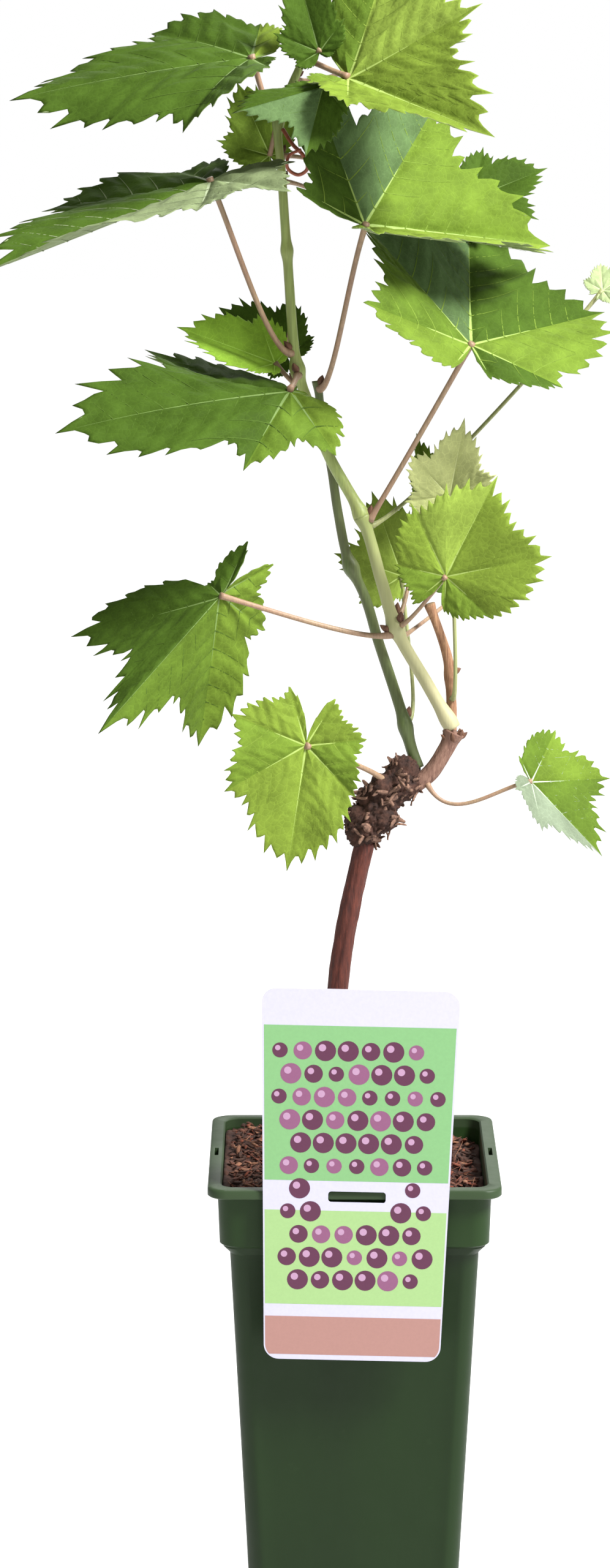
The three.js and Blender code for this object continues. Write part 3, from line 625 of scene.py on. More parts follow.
class Blade:
    """The folded, arched surface of one leaf, and what lies on it. s runs along it and t across."""

    def __init__(self, leaf, seed):
        self.leaf, self.seed = leaf, seed
        self.at = np.array(leaf.at, float)
        along = np.array(leaf.tip, float) - self.at
        self.length = np.linalg.norm(along)
        self.along = along / self.length
        face = np.array(leaf.face, float)
        self.up = unit(face - self.along * face.dot(self.along))
        self.right = np.cross(self.along, self.up)
        self.big = self.length > BIG_LEAF
        self.side_step = max(4.0, self.length * SIDE_STEP)

    def reach(self, angle):
        """Reach at an array of signed angles, positive to the left of the midrib."""
        leaf, off = self.leaf, abs(angle)
        left, right = (half_reach(lobes, off, leaf.width) for lobes in (leaf.left, leaf.right))
        return np.where(angle >= 0, left, right)

    def reach_at(self, angle):
        return self.reach(np.array([float(angle)])).item()

    def point(self, s, t):
        """The rule's surface in mm, with its crease and rim softened."""
        leaf = self.leaf
        side = np.where(t < 0, *leaf.fold)
        more = np.where(t < 0, *leaf.lift)
        rise = np.radians(leaf.arch * (1 - s))
        raised = np.radians(side + more * (1 - s) / 2)
        away = np.sqrt(t**2 + BLUNT[0]) - BLUNT[1]
        up = s * np.sin(rise) + away * np.sin(raised) + PLEAT * self.pleat(s, t)
        offs = (s * np.cos(rise), self.along), (t * np.cos(raised), self.right), (up, self.up)
        return self.at + self.length * sum(off[..., None] * way for off, way in offs)

    def pleat(self, s, t):
        """Distance from the nearest main vein, rounded over the veins and between them."""
        angle = np.degrees(np.arctan2(abs(t), s))
        off = np.abs(angle[..., None] - np.array(LOBE_ANGLES)).min(axis=-1)
        off = np.sqrt(off**2 + 4) - 2 - np.maximum(0, off - 22)**2 / 14
        return np.hypot(s, t) * np.sin(np.radians(off))

    def vein_distance(self, s, t):
        """Distances in mm to the nearest main vein and side vein, and a swell between the small veins."""
        main, side, cross = np.full(s.shape, FAR), np.full(s.shape, FAR), np.ones(s.shape)
        for at in MAIN_VEINS:
            turn = math.radians(at)
            u = (s * math.cos(turn) - t * math.sin(turn)) * self.length
            v = (s * math.sin(turn) + t * math.cos(turn)) * self.length
            near = np.where(u > 0, abs(v), np.hypot(u, v))
            closer = near < main
            phase = (u - abs(v) * (SIDE_SLANT + SIDE_BEND * abs(v) / self.length)) / self.side_step
            gap = abs(phase - np.round(phase)) * self.side_step * 0.8
            side = np.where(closer, np.where(phase > 0.5, gap, FAR), side)
            cross = np.where(closer, abs(np.sin(np.pi * v / (0.9 * self.side_step))), cross)
            main = np.minimum(main, near)
        return main, side, cross

    def relief(self, s, t):
        """Quilting between the veins and slow waves towards the rim, in mm along the normal."""
        main, side, cross = self.vein_distance(s, t)
        size = self.length
        near = np.minimum(main, side)
        quilt = QUILT * size * (1 - np.exp(-(near / (QUILT_REACH * size))**1.3)) * (0.8 + 0.2 * cross)
        quilt = quilt - GROOVE * size * np.exp(-(main / (GROOVE_REACH * size))**2)
        r, angle = np.hypot(s, t), np.arctan2(-t, s)
        waves = sum(
            height * size * r**2 * np.sin(count * angle + share * self.seed)
            for height, count, share in WAVES)
        return quilt - SINK * size + waves * (1.35 if self.big else 0.7)

    def surface(self, s, t, off=0.0):
        """Points of the finished surface, off mm above it."""
        step = 0.004
        du = self.point(s + step, t) - self.point(s - step, t)
        dv = self.point(s, t + step) - self.point(s, t - step)
        normal = unit(np.cross(dv, du))
        return self.point(s, t) + normal * (self.relief(s, t) + off)[..., None]

    def sheets(self, build, rings):
        """The blade: an upper and a lower skin with a thin rim between."""
        rng = random.Random(self.seed)
        teeth = int(round(360 / TOOTH_STEP))
        count = teeth * TOOTH_POINTS
        angle = -180 + np.arange(count) * 360 / count
        small_large = (0.5, 1.1), (1.3, 2.5)
        sizes = [rng.uniform(*small_large[k % 2]) for k in range(teeth + 1)]
        jags = tooth_height(abs(angle)) * TOOTH_DEPTH * np.repeat(sizes, TOOTH_POINTS)[:count]
        share = np.linspace(0.035, 1, rings)**0.9
        r = share[:, None] * (self.reach(angle) * (1 + jags))[None]
        s, t = r * np.cos(np.radians(angle)), -r * np.sin(np.radians(angle))
        thick = np.full(s.shape, SKIN)
        thick[-1] = RIM
        skins = [self.surface(s, t, side * thick).reshape(-1, 3) for side in (1, -1)]
        middles = [self.surface(np.zeros(1), np.zeros(1), np.array([off])) for off in (SKIN, -SKIN)]
        points = np.vstack(skins + middles)
        total = rings * count
        upper, lower = turned(ring_faces(rings, count)), ring_faces(rings, count, total)
        # each field's upper side takes the field's tone: painted light or shade on that field
        field = [SECTOR_TOPS + sector(a + 180 / count) for a in angle]
        faces = upper + lower
        kinds = [field[k % count] for k in range(len(upper))] + [UNDER] * len(lower)
        rim, last = (rings - 1) * count, 2 * total
        for k in range(count):
            n = (k + 1) % count
            faces += [(last, k, n), (last + 1, total + n, total + k)]
            faces.append((rim + n, rim + k, total + rim + k, total + rim + n))
            kinds += [field[k], UNDER, UNDER]
        flip = np.dot(np.cross(points[1] - points[last], points[0] - points[last]), self.up) > 0
        build.add(points, turned(faces) if flip else faces, kinds)

    def vein(self, build, start, turn, reach, wide, lift=0.17, top=VEIN_TOP, bend=0.0):
        """A vein from start, as a low ridge on the upper side and a taller one below."""
        steps = max(4, int(reach * self.length / 3.2))
        k = np.linspace(0, 1, steps + 1)
        heading = turn + bend * reach * k
        s = start[0] + np.concatenate([[0], np.cumsum(np.cos(heading[:-1]))]) * reach / steps
        t = start[1] - np.concatenate([[0], np.cumsum(np.sin(heading[:-1]))]) * reach / steps
        half = wide * (1 - 0.8 * k) / self.length / 2
        faces = []
        for a in range(0, 3 * steps, 3):
            faces += [(a, a + 1, a + 4, a + 3), (a + 1, a + 2, a + 5, a + 4)]
        for side, height, breadth, kind in ((1, 0.3, 0.8, top), (-1, 0.75, 1.25, VEIN_UNDER)):
            broad = half * breadth
            rows = []
            for across, rise in ((-1, 0.0), (0, 1.0), (1, 0.0)):
                ds, dt = s + across * broad * -np.sin(heading), t - across * broad * np.cos(heading)
                off = side * (lift + rise * height * wide * (1 - 0.75 * k) * 0.5)
                rows.append(self.surface(ds, dt, off))
            points = np.stack(rows, axis=1).reshape(-1, 3)
            build.add(points, faces if side < 0 else turned(faces), kind)

    def veins(self, build):
        size, step = self.length, self.side_step / self.length
        for at in MAIN_VEINS:
            turn = math.radians(at)
            reach = self.reach_at(at) * 0.97
            if reach * size < 6:
                continue
            self.vein(build, (0, 0), turn, reach, 0.012 * size * (0.8 if at else 1) + 0.35)
            for n in range(1, int(reach / step)):
                base = (n * step * math.cos(turn), -n * step * math.sin(turn))
                for hand in (1, -1):
                    self.side_vein(build, base, turn, hand)

    def side_vein(self, build, base, turn, hand):
        """A side vein runs out from a main vein until it nears the rim or the next main vein's field."""
        heading, bend = turn + hand * SIDE_TURN, -hand * SIDE_BEND
        reach = 0.0
        s, t = base
        while reach < SIDE_LONGEST:
            s += SIDE_STRIDE * math.cos(heading + bend * reach)
            t -= SIDE_STRIDE * math.sin(heading + bend * reach)
            angle = math.degrees(math.atan2(-t, s))
            own = abs((math.degrees(turn) - angle + 180) % 360 - 180)
            if own > FIELD or math.hypot(s, t) > 0.95 * self.reach_at(angle):
                break
            reach += SIDE_STRIDE
        if reach * self.length > 4:
            wide, lift = 0.006 * self.length + 0.1, 0.003 * self.length + 0.1
            self.vein(build, base, heading, reach, wide, lift, RIB_TOP, bend)


def blade_materials(tone):
    """The tone that most of a leaf's fields have, then the fields' upper sides,
    whose tones paint light and shade on each field.
    """
    fields = tone.split()
    if len(fields) == 1:
        fields *= 6
    base = max(fields, key=fields.count)
    return [*TONES[base], *(TONES[field][TOP] for field in fields)]


def stalk_path(leaf, blade):
    """The stalk leaves its limb square to it and ends in the blade, by the source's rule."""
    end = np.array(leaf.at, float)
    if leaf.foot:
        foot, out = np.array(leaf.foot, float), unit(np.array(leaf.out, float))
    else:
        limb = LIMBS[leaf.on]
        centre, axis = limb.path.at(leaf.share), limb.path.tangent(leaf.share)
        out = np.array(leaf.out, float) if leaf.out else end - centre
        out = unit(out - axis * out.dot(axis))
        foot = centre + out * (float(limb.radius(leaf.share)) + 0.45)
    reach = np.linalg.norm(end - foot)
    knee = foot + out * 0.12 * reach + np.array(leaf.bow, float)
    neck = end + (foot - end) * 0.3 - blade.up * 0.05 * reach
    return bezier_path(foot - out * 1.2, knee, neck, end), foot, out


def make_leaf(number, leaf):
    """One leaf's blade, veins and stalk as a piece. Returns the stalk's foot and the way it leaves."""
    name = "leaf_%02d" % number
    blade = Blade(leaf, number)
    build = Build()
    blade.sheets(build, 30 if blade.big else 14)
    blade.veins(build)
    path, foot, out = stalk_path(leaf, blade)
    slim = 1.0 if blade.big else 0.75

    def radius(share):
        """Thicker where the stalk leaves its limb and where it meets the blade."""
        ends = (0.9, share, 3.0), (0.45, 1 - share, 4.0)
        swell = sum(rise * math.exp(-away * path.length / fade) for rise, away, fade in ends)
        return slim * (1.05 + swell)

    build.add(*sweep(path, radius, 10, 1.6), STALK)
    build.piece(name + "_blade", blade_materials(leaf.tone), "leaf", (name,))
    return foot, out


# ---- stems
CANE = (0.09, 4, 4, 0.03)  # depth in mm, ridges, seed and coarseness along the limb
FLAKES = 110
CORE_BALLS, LUMP_OUT = 6, 0.72  # steps along the graft's core, and how far out in it the lumps sit


def ridged(depth, count, seed, coarse=0.05):
    """Bark relief: lengthwise ridges that wander, with slow swellings."""
    def relief(turn, z):
        x, y = math.cos(turn), math.sin(turn)
        ridge = abs(wobble(x * count, y * count, z * coarse, 1.0, seed))
        swell = wobble(x, y, z * 0.06, 1.0, seed + 5)
        fine = wobble(x * 3 * count, y * 3 * count, z * 0.25, 1.0, seed + 9)
        return depth * (0.5 - 1.6 * ridge) + 0.8 * depth * swell + 0.3 * depth * fine
    return relief


def make_stems():
    """The limbs from the frame, each as a piece. The pruned stub's upper end shows its cut wood."""
    for name, key, skin, slot, node, sides, spacing, span, bark in (
        ("trunk_bark", "trunk", "trunk", "rootstock_bark", "trunk", 48, 0.9, (0.03, 1), (0.42, 3.2, 1)),
        ("spur_bark", "spur", "spur", "old_wood", "old_spur", 36, 0.6, (0, 1), (0.45, 2.6, 2)),
        ("stub_wood", "stub", "stub", "cut_wood", "pruned_stub", 28, 0.8, (0, 1), (0.2, 3, 3)),
        ("shoot_lower", "main", "cane", "green_cane", "main_shoot_lower", 26, 0.9, (0, 0.28), CANE),
        ("shoot_upper", "main", "cane_top", "green_cane", "main_shoot_upper", 24, 0.9, (0.279, 1), CANE),
        ("side_cane", "side", "side", "dark_cane", "side_shoot", 24, 0.9, (0, 1), (0.12, 4, 6, 0.03)),
        ("tendril_coil", "tendril", "tendril", "tendril", "tendril", 10, 0.5, (0, 1), None),
    ):
        limb, materials, relief = LIMBS[key], [MATERIALS[skin]], bark and ridged(*bark)
        points, faces = sweep(limb.path, limb.radius, sides, spacing, relief, span)
        kinds = [0] * len(faces)
        if key == "stub":
            materials.append(MATERIALS["cut"])
            kinds[-1:-2 * sides:-2] = [1] * sides
        make_piece(name, points, faces, materials, (node,), kinds)


def farthest(middle, ray, balls):
    """How far a ray from the middle goes before it leaves the last of the balls."""
    reach = 0.0
    for centre, radius in balls:
        to = centre - middle
        b = to.dot(ray)
        c = to.dot(to) - radius**2
        if b * b - c > 0:
            reach = max(reach, b + math.sqrt(b * b - c))
    return reach


def make_callus():
    """The graft's swelling: a lumpy, cracked form over the joint of trunk and spur."""
    start, end = np.array(GRAFT["from"], float), np.array(GRAFT["to"], float)
    (low, high), length = GRAFT["core"], np.linalg.norm(end - start)
    along = unit(end - start)
    across = unit(np.cross((0, 1, 0), along))
    other = np.cross(along, across)
    steps = range(CORE_BALLS + 1)
    balls = [(start + (end - start) * k / CORE_BALLS, low + (high - low) * k / CORE_BALLS) for k in steps]
    for share, radius, turn in LUMPS:
        off = around(across, other, math.radians(turn)) * (low + (high - low) * share) * LUMP_OUT
        balls.append((start + (end - start) * share + off, radius))
    rows, sides = 130, 130
    points = []
    for r in range(1, rows):
        polar = math.pi * r / rows
        middle = start + along * (length * 0.5 - length * 0.5 * math.cos(polar))
        for k in range(sides):
            ray = around(across, other, 2 * math.pi * k / sides)
            ray = unit(ray * math.sin(polar) - along * math.cos(polar))
            p = middle + ray * farthest(middle, ray, balls)
            cracks = 1.5 * abs(wobble(*p, 0.42, 3)) + 1.1 * abs(wobble(*p, 0.9, 4))
            rough = cracks + 0.45 * wobble(*p, 2.2, 5) + 0.9 * wobble(*p, 0.2, 8)
            points.append(p + ray * (rough - 1.1))
    points += [start - along * (low - 0.3), end + along * (high - 0.3)]
    faces = ring_faces(rows - 1, sides) + end_fans(rows - 1, sides)
    make_piece("graft_bark", points, faces, [MATERIALS["callus"]], ("graft_callus",))
    make_flakes(start, end, across, other, balls)


def make_flakes(start, end, across, other, balls):
    """Ragged, curled strips of bark lifting from the callus."""
    rng = random.Random(5)
    build = Build()
    for _ in range(FLAKES):
        share, turn = rng.uniform(-0.1, 1.1), rng.uniform(0, 2 * math.pi)
        out = around(across, other, turn)
        middle = start + (end - start) * share
        base = middle + out * (farthest(middle, out, balls) - 0.6)
        way = unit(np.array([rng.uniform(-1, 1), rng.uniform(-1, 1), rng.uniform(-1, 1)]))
        way = unit(way - out * way.dot(out))
        side = np.cross(out, way)
        length, wide, curl = rng.uniform(2, 5.5), rng.uniform(0.4, 1.3), rng.uniform(0.5, 3.5)
        grid = []
        for k in (i / 6 for i in range(7)):
            middle = base + way * length * (k - 0.3) + out * (0.3 + curl * k * k)
            half = wide * (0.35 + 0.65 * math.sin(math.pi * (0.15 + 0.8 * k)))
            for j in (-1, 0, 1):
                grid.append(middle + side * half * j - out * 0.5 * abs(j) + out * rng.uniform(-0.15, 0.15))
        add_plate(build, grid, 7, 3, 0.35)
    build.piece("bark_flakes", [MATERIALS["flake"]], "callus")


def add_plate(build, grid, rows, columns, thick):
    """A closed thin plate from a grid of points."""
    grid = np.array(grid, float)
    g = grid.reshape(rows, columns, 3)
    normal = unit(np.cross(np.gradient(g, axis=0), np.gradient(g, axis=1)).reshape(-1, 3) + 1e-9)
    points = np.vstack([grid + normal * thick / 2, grid - normal * thick / 2])
    total = rows * columns
    faces = ring_faces(rows, columns, 0, False)
    faces += turned(ring_faces(rows, columns, total, False))
    edge = grid_edge(rows, columns)
    faces += [(b, a, a + total, b + total) for a, b in zip(edge, edge[1:] + edge[:1])]
    build.add(points, faces)


def add_bud(build, base, way, length, wide):
    """A bud: a pointed drop with a flattened foot."""
    base, way = np.asarray(base, float), unit(np.asarray(way, float))
    across = unit(np.cross(way, (0.3, 0.8, 0.5)))
    other = np.cross(way, across)
    rows, sides = 9, 12
    points = []
    for k in (r / (rows - 1) for r in range(rows)):
        radius = wide * (math.sin(math.pi * min(1, 0.25 + 0.75 * k**0.85))**0.9 + 0.02)
        for turn in (2 * math.pi * j / sides for j in range(sides)):
            squash = across * math.cos(turn) + 0.75 * other * math.sin(turn)
            points.append(base + way * length * k + squash * radius)
    points += [base, base + way * length * 1.03]
    build.add(points, ring_faces(rows, sides) + end_fans(rows, sides))


def make_buds(feet):
    """A bud in the crook of each stalk on the main and side shoots, scales where the spur ends,
    and a bud on the stub.
    """
    build = Build()
    for leaf, (foot, out) in feet:
        if leaf.on not in ("main", "side"):
            continue
        axis = LIMBS[leaf.on].path.tangent(leaf.share)
        size = 1.0 if leaf.on == "side" or leaf.share < 0.6 else 0.7
        add_bud(build, foot + axis * 1.6 - out * 0.8, axis + 0.7 * out, 4.6 * size, 1.5 * size)
    for turn in range(13):
        out = np.array([math.cos(turn * 0.9), math.sin(turn * 0.9), 0.0])
        base = np.array(LIMBS["spur"].points[-1]) + out * 2.6 - np.array([0, 0, 1.5 + turn % 3])
        add_bud(build, base, np.array([0, 0, 1]) + (0.3 + 0.3 * (turn % 4)) * out, 2.6 + turn % 3, 1.1)
    add_bud(build, LIMBS["stub"].path.at(0.45) + np.array([1.4, 0, 0]), (1, 0, 0.5), 3.4, 1.5)
    build.piece("buds", [MATERIALS["bud"]], "old_wood")


# ---- pot and compost
# each side of the pot's body is set back between margins, with a soft edge, in mm
PANEL_RECESS, PANEL_MARGIN, PANEL_EDGE = 0.7, 6.5, 1.6
BED = {"half": 51.6, "corner": 6.5, "foot": 179, "cells": 90}
CHIP_COUNT, FIBRE_SHARE, CHIP_FIELD, CHIP_LIMIT = 1500, 0.25, 49, 50.5


def body_half(z):
    return BODY["foot"] + (BODY["top"] - BODY["foot"]) * z / COLLAR_FOOT


def square_ring(half, z, corner=CORNER, recess=0.0):
    """A rounded square at z. Each side is set back by recess between margins at the corners."""
    straight, turns = 14, 10
    flat = half - corner
    side = []
    for k in range(straight + 1):
        v = -flat + 2 * flat * k / straight
        edge = min(1, max(0, (half - PANEL_MARGIN - abs(v)) / PANEL_EDGE))
        side.append((half - recess * edge * edge * (3 - 2 * edge), v))
    for k in range(1, turns):
        a = math.pi / 2 * k / turns
        side.append((flat + corner * math.cos(a), flat + corner * math.sin(a)))
    ring = []
    for turn in (math.pi / 2 * quarter for quarter in range(4)):
        c, s = math.cos(turn), math.sin(turn)
        ring += [(x * c - y * s, x * s + y * c, z) for x, y in side]
    return ring


def make_pot():
    """The shell, ring by ring: its foot, sides, collar and lip, then down inside to the floor."""
    inner, top = CORNER - WALL, POT_HEIGHT
    shell = [(BODY["foot"] - 3, 0.0, CORNER - 2), (BODY["foot"] - 0.9, 0.15), (BODY["foot"] - 0.2, 0.9)]
    for k in range(13):
        z = 2 + (COLLAR_FOOT - 4.5) * k / 12
        shell.append((body_half(z), z, CORNER, PANEL_RECESS if 0 < k < 12 else 0.0))
    shell += [(body_half(COLLAR_FOOT), COLLAR_FOOT - 1.6), (COLLAR["foot"] - 0.7, COLLAR_FOOT - 0.2)]
    for share in (k / 5 for k in range(6)):
        half = COLLAR["foot"] + (COLLAR["top"] - COLLAR["foot"]) * share
        shell.append((half, COLLAR_FOOT + 0.5 + (LIP_FOOT - COLLAR_FOOT - 1) * share))
    shell += [
        (LIP["half"] - 0.5, LIP_FOOT + 0.1), (LIP["half"], LIP_FOOT + 0.6), (LIP["half"], top - 1.0),
        (LIP["half"] - 0.35, top - 0.3), (LIP["half"] - 1.1, top), (LIP["bore"] + 0.6, top, inner),
        (LIP["bore"], top - 0.6, inner), (LIP["bore"] - 0.6, COLLAR_FOOT - 1, inner),
        (body_half(COLLAR_FOOT - 6) - WALL, COLLAR_FOOT - 6, inner),
        (body_half(FLOOR_THICK) - WALL, FLOOR_THICK, inner),
    ]
    rings = [square_ring(*ring) for ring in shell]
    rows, columns = len(rings), len(rings[0])
    points = [p for ring in rings for p in ring] + [(0, 0, 0), (0, 0, FLOOR_THICK)]
    faces = ring_faces(rows, columns) + end_fans(rows, columns)
    cut_pot(make_piece("pot_shell", points, faces, [MATERIALS["pot"]], ("pot",)))


def cut_pot(pot):
    """Cuts the lip's slots and the drain holes through the shell."""
    build = Build()
    signs = (-1, 1)
    box = [(0, 2, 3, 1), (4, 5, 7, 6), (0, 1, 5, 4), (2, 6, 7, 3), (0, 4, 6, 2), (1, 3, 7, 5)]
    a, b, c = LIP_SLOT["half"]
    for side in signs:
        x = side * LIP_SLOT["at"]
        corners = [(x + a * i, b * j, POT_HEIGHT + c * k) for k in signs for j in signs for i in signs]
        build.add(corners, box)
        for end in signs:
            middle = side * DRAIN["at"], end * DRAIN["at"]
            ring = arc(*middle, DRAIN["radius"], np.arange(24) * math.pi / 12)
            points = [(x, y, z) for z in (-5, 8) for x, y in ring]
            build.add(points, ring_faces(2, 24) + [tuple(reversed(range(24))), tuple(range(24, 48))])
    mesh = bpy.data.meshes.new("pot_cutter")
    mesh.from_pydata((np.vstack(build.points) * MM).tolist(), [], build.faces)
    cutter = add_object("pot_cutter", mesh)
    cut = pot.modifiers.new("cut", "BOOLEAN")
    cut.operation = "DIFFERENCE"
    cut.solver = "EXACT"
    cut.object = cutter
    result = bpy.data.meshes.new_from_object(pot.evaluated_get(bpy.context.evaluated_depsgraph_get()))
    pot.modifiers.clear()
    pot.data = result
    result.polygons.foreach_set("use_smooth", np.ones(len(result.polygons), bool))
    result.set_sharp_from_angle(angle=math.radians(40))
    bpy.data.objects.remove(cutter)


def soil_top(x, y):
    """The compost's height: level near the trunk, then lumpy and leaning, by the source's rule."""
    foot = LIMBS["trunk"].points[0]
    k = min(1, max(0, (math.hypot(x - foot[0], y - foot[1]) - 26) / 18))
    away = k * k * (3 - 2 * k)
    lumps = SOIL["lumps"] * math.sin(0.31 * x + 1) * math.cos(0.27 * y - 0.5)
    return SOIL["level"] + away * (lumps - SOIL["lean"] * (x - foot[0]))


def rounded(x, y, flat):
    """Pulls a point of a square's corner in to the corner's round."""
    over_x, over_y = max(0, abs(x) - flat), max(0, abs(y) - flat)
    if over_x and over_y:
        pull = max(over_x, over_y) / math.hypot(over_x, over_y)
        x = math.copysign(flat + over_x * pull, x)
        y = math.copysign(flat + over_y * pull, y)
    return x, y


def make_compost():
    half, cells = BED["half"], BED["cells"]
    grid = []
    for j in range(cells + 1):
        for i in range(cells + 1):
            x, y = rounded((2 * i / cells - 1) * half, (2 * j / cells - 1) * half, half - BED["corner"])
            z = soil_top(x, y) + 1.3 * wobble(x, y, 0, 0.16, 1) + 1.2 * wobble(x, y, 0, 0.5, 2)
            grid.append((x, y, z + 0.3))
    faces = ring_faces(cells + 1, cells + 1, 0, False)
    edge = grid_edge(cells + 1, cells + 1)
    start = len(grid)
    grid += [(*grid[index][:2], BED["foot"]) for index in edge]
    for k, a in enumerate(edge):
        n = (k + 1) % len(edge)
        faces.append((a, start + k, start + n, edge[n]))
    faces.append(tuple(start + k for k in reversed(range(len(edge)))))
    make_piece("compost_bed", grid, faces, [MATERIALS["soil"]], ("compost",))
    make_chips()


def make_chips():
    """Bark chips, crumbs and coir fibres lying on the compost."""
    rng = random.Random(11)
    build = Build()
    up_way = np.array([0, 0, 1])
    for _ in range(CHIP_COUNT):
        x, y = rng.uniform(-CHIP_FIELD, CHIP_FIELD), rng.uniform(-CHIP_FIELD, CHIP_FIELD)
        kind = rng.choice((0, 0, 1, 1, 2, 3))
        length, wide, thick = rng.uniform(1.5, 6), rng.uniform(0.5, 2.0), rng.uniform(0.3, 1.0)
        if rng.random() < FIBRE_SHARE:
            length, wide, thick = rng.uniform(5, 14), rng.uniform(0.2, 0.45), 0.3
        turn, tilt, roll = rng.uniform(0, 2 * math.pi), rng.uniform(-0.5, 0.5), rng.uniform(-0.6, 0.6)
        way = np.array([math.cos(turn) * math.cos(tilt), math.sin(turn) * math.cos(tilt), math.sin(tilt)])
        side = around(unit(np.cross(up_way, way)), up_way, roll)
        side = unit(side - way * side.dot(way))
        up = np.cross(way, side)
        centre = np.array([x, y, soil_top(x, y) + 1.0 + rng.uniform(-0.2, 1.1)])
        if max(abs(centre[:2]) + abs(way[:2]) * length / 2) > CHIP_LIMIT:
            continue
        points = []
        for k, swell in ((-0.5, 0.35), (-0.2, 1.0), (0.25, 0.85), (0.5, 0.3)):
            bow = up * rng.uniform(-0.4, 0.4)
            for a, b in SQUARE:
                off = swell * (side * a * wide + up * b * thick) / 2
                points.append(centre + way * length * k + bow + off)
        build.add(points, ring_faces(4, 4) + [(3, 2, 1, 0), (12, 13, 14, 15)], kind)
    build.piece("compost_chips", CHIPS, "compost")


# ---- card
PRINT_FOOT = CARD["thick"] / 2 - 0.05  # where the print's flat shapes begin, in the card's skin
PRINT_MARGIN = 0.7
BANDS = ((-2, 60, GREEN), (-52, -14, SOFT_GREEN), (-72.5, -57, FOOT_PINK))
DISCS = {"rows": 11, "columns": 8, "top": 50, "down": 9.2, "across": 8.8, "radii": (3.0, 3.6, 4.1)}
CLEAR = {"edge": 3, "slot_half": (15, 8), "slot_v": -7.4}  # card left bare round its edge and slot
SHEEN = {"off": 0.3, "size": 0.35}  # a disc's paler spot, as shares of the disc's radius
BAND_RISE, DISC_RISE, SHEEN_RISE = 0.03, 0.06, 0.09


def card_point(u, v, off):
    """A point of the card: u right and v up from its centre, off mm in front of its middle plane."""
    lean = math.radians(CARD["lean"])
    front = LIP["half"] + 0.3 + CARD["thick"] / 2
    return (
        CARD_CENTRE[0] + u * math.cos(lean) + v * math.sin(lean), -front - off,
        CARD_CENTRE[1] - u * math.sin(lean) + v * math.cos(lean))


def card_half(v):
    return (CARD["foot"] + (CARD["top"] - CARD["foot"]) * (v / CARD["height"] + 0.5)) / 2


def add_flat(build, outline, height, kind):
    """A flat shape of print, height mm above the card's face."""
    count = len(outline)
    offs = (PRINT_FOOT, CARD["thick"] / 2 + height)
    points = [card_point(u, v, off) for off in offs for u, v in outline]
    faces = [tuple(range(count - 1, -1, -1)), tuple(range(count, 2 * count))]
    build.add(points, faces + ring_faces(2, count), kind)


def make_card():
    """The card with its slot, and a plain print of bands and discs laid on it."""
    u, v = (CARD_SLOT["at"][k] - CARD_CENTRE[k] for k in (0, 1))
    a, b, tight, corner = CARD_SLOT["wide"] / 2, CARD_SLOT["high"] / 2, CARD_SLOT["corner"], CARD["corner"]
    outline, slot = [], []
    for (sx, sy), start in zip(SQUARE, (180, 270, 0, 90)):
        turns = [math.radians(start + 9 * k) for k in range(11)]
        end = CARD["height"] / 2
        outline += arc(sx * (card_half(sy * end) - corner), sy * (end - corner), corner, turns)
        slot += arc(u + sx * (a - tight), v + sy * (b - tight), tight, turns)
    half, count = CARD["thick"] / 2, len(outline)
    rings = ((outline, -half), (outline, half), (slot, half), (slot, -half))
    points = [card_point(*place, off) for shape, off in rings for place in shape]
    faces = ring_faces(4, count)
    faces += [(3 * count + k, 3 * count + (k + 1) % count, (k + 1) % count, k) for k in range(count)]
    materials = [MATERIALS["card"]]
    make_piece("card_board", points, faces, materials, ("label_card",), smooth=False)
    make_print()


def make_print():
    """Three bands of ink, and rows of discs over them that keep clear of the slot and the edges."""
    build = Build()

    def edge_half(v):
        tight = max(0.0, CARD["corner"] - (CARD["height"] / 2 - abs(v)))
        return card_half(v) - (CARD["corner"] - math.sqrt(max(0.0, CARD["corner"]**2 - tight**2)))

    for low, high, kind in BANDS:
        heights = [low + (high - low) * k / 16 for k in range(17)]
        shape = [(edge_half(v) - PRINT_MARGIN, v) for v in heights]
        add_flat(build, shape + [(-u, v) for u, v in reversed(shape)], BAND_RISE, kind)
    rng = random.Random(3)
    for row in range(DISCS["rows"]):
        v = DISCS["top"] - row * DISCS["down"]
        for column in range(DISCS["columns"]):
            shift = 0.5 if row % 2 else 0
            u = (column - (DISCS["columns"] - 1) / 2) * DISCS["across"] + shift * DISCS["across"]
            size = rng.choice(DISCS["radii"])
            over = abs(u) + size > card_half(v) - CLEAR["edge"]
            slotted = abs(u) < CLEAR["slot_half"][0] and abs(v - CLEAR["slot_v"]) < CLEAR["slot_half"][1]
            if over or slotted:
                continue
            ring = arc(u, v, size, [t * math.pi / 12 for t in range(24)])
            add_flat(build, ring, DISC_RISE, rng.choice((PLUM, PLUM, PLUM, ROSE)))
            off, part = SHEEN["off"] * size, SHEEN["size"]
            sheen = [(u - off + part * (a - u), v + off + part * (b - v)) for a, b in ring]
            add_flat(build, sheen, SHEEN_RISE, SHINE)
    build.piece("card_print", INKS, "label_card", smooth=False)


# ---- the scene
LAMPS = (("key", (1.6, -1.0, 2.4), 0.8, 215), ("back", (0.3, 1.7, 1.5), 1.2, 16))  # place, size and power
PLANT_MIDDLE = (0, 0, 0.42)
FLOOR_HALF = 6


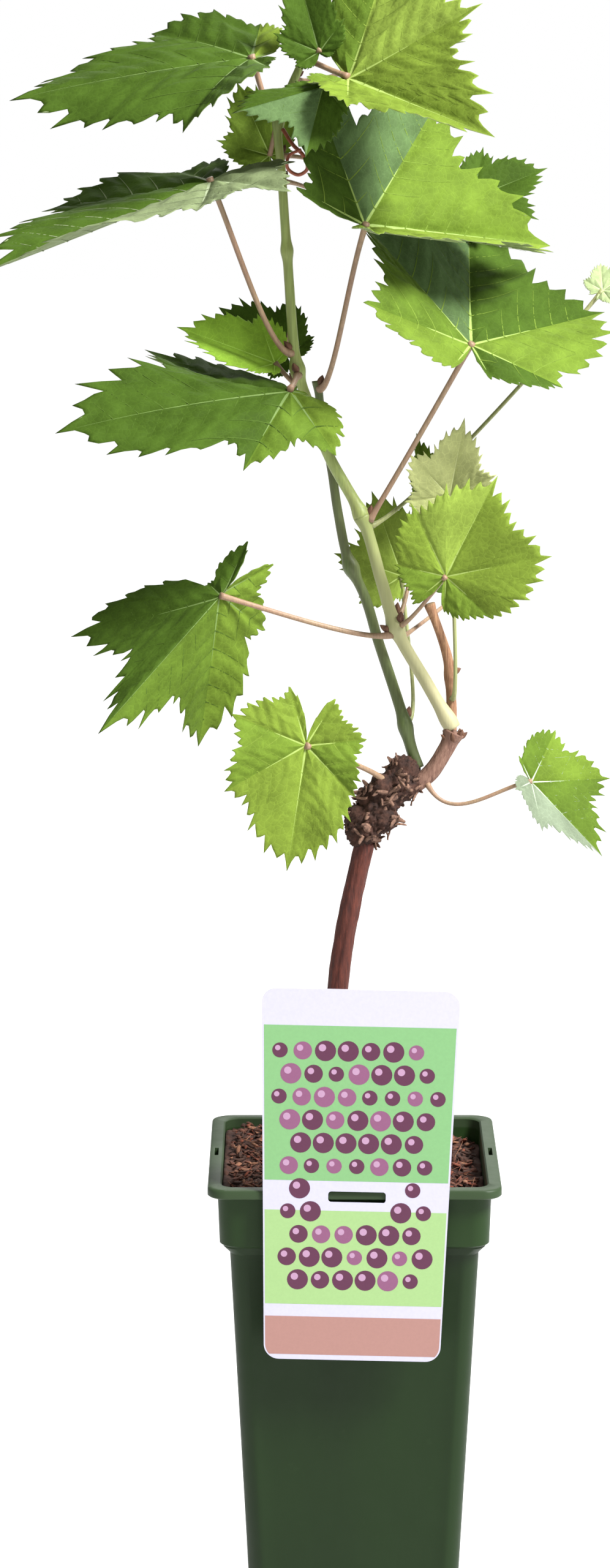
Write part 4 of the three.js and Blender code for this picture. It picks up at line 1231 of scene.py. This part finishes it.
def make_studio():
    """A pale floor, a white backdrop and two soft lamps."""
    plate = bpy.data.meshes.new("floor")
    plate.from_pydata([(x * FLOOR_HALF, y * FLOOR_HALF, 0) for x, y in SQUARE], [], [(0, 1, 2, 3)])
    n = Nodes("studio_floor")
    tone = n.ramp(n.noise(3, 2), (0.0, (0.44, 0.44, 0.44, 1)), (1.0, (0.47, 0.47, 0.47, 1)))
    glow = {"Emission Color": WHITE, "Emission Strength": 0.75}
    n.fill(n.shader, {"Base Color": tone, "Roughness": 0.9, **glow})
    plate.materials.append(n.material)
    floor = add_object("floor", plate)
    floor.location.z = -0.0005
    world = bpy.data.worlds.new("studio")
    world.use_nodes = True
    add_sky(world.node_tree)
    bpy.context.scene.world = world
    bpy.context.scene.view_settings.view_transform = "Standard"
    for name, where, size, power in LAMPS:
        light = bpy.data.lights.new(name, "AREA")
        light.size = size
        light.energy = power
        lamp = add_object(name, light)
        lamp.location = where
        lamp.rotation_euler = (Vector(PLANT_MIDDLE) - Vector(where)).to_track_quat("-Z", "Y").to_euler()


def add_sky(tree):
    """A white backdrop all round, which lights the plant more softly than it looks."""
    sky = tree.nodes["Background"]
    sky.inputs["Color"].default_value = WHITE
    path = tree.nodes.new("ShaderNodeLightPath")
    strength = tree.nodes.new("ShaderNodeMapRange")
    strength.inputs["To Min"].default_value = 0.5
    strength.inputs["To Max"].default_value = 1.0
    tree.links.new(path.outputs["Is Camera Ray"], strength.inputs["Value"])
    tree.links.new(strength.outputs["Result"], sky.inputs["Strength"])


def make_camera():
    camera = bpy.data.cameras.new("camera")
    camera.sensor_fit = "VERTICAL"
    camera.sensor_height = 36
    camera.lens = 112.5
    eye = add_object("camera", camera)
    eye.location = (-0.0194, -1.8974, 0.7222)
    eye.rotation_euler = (math.radians(78.9), 0, 0)
    bpy.context.scene.camera = eye


make_pot()
make_compost()
make_card()
make_stems()
make_callus()
make_buds([(leaf, make_leaf(number, leaf)) for number, leaf in enumerate(LEAVES, 1)])
make_studio()
make_camera()
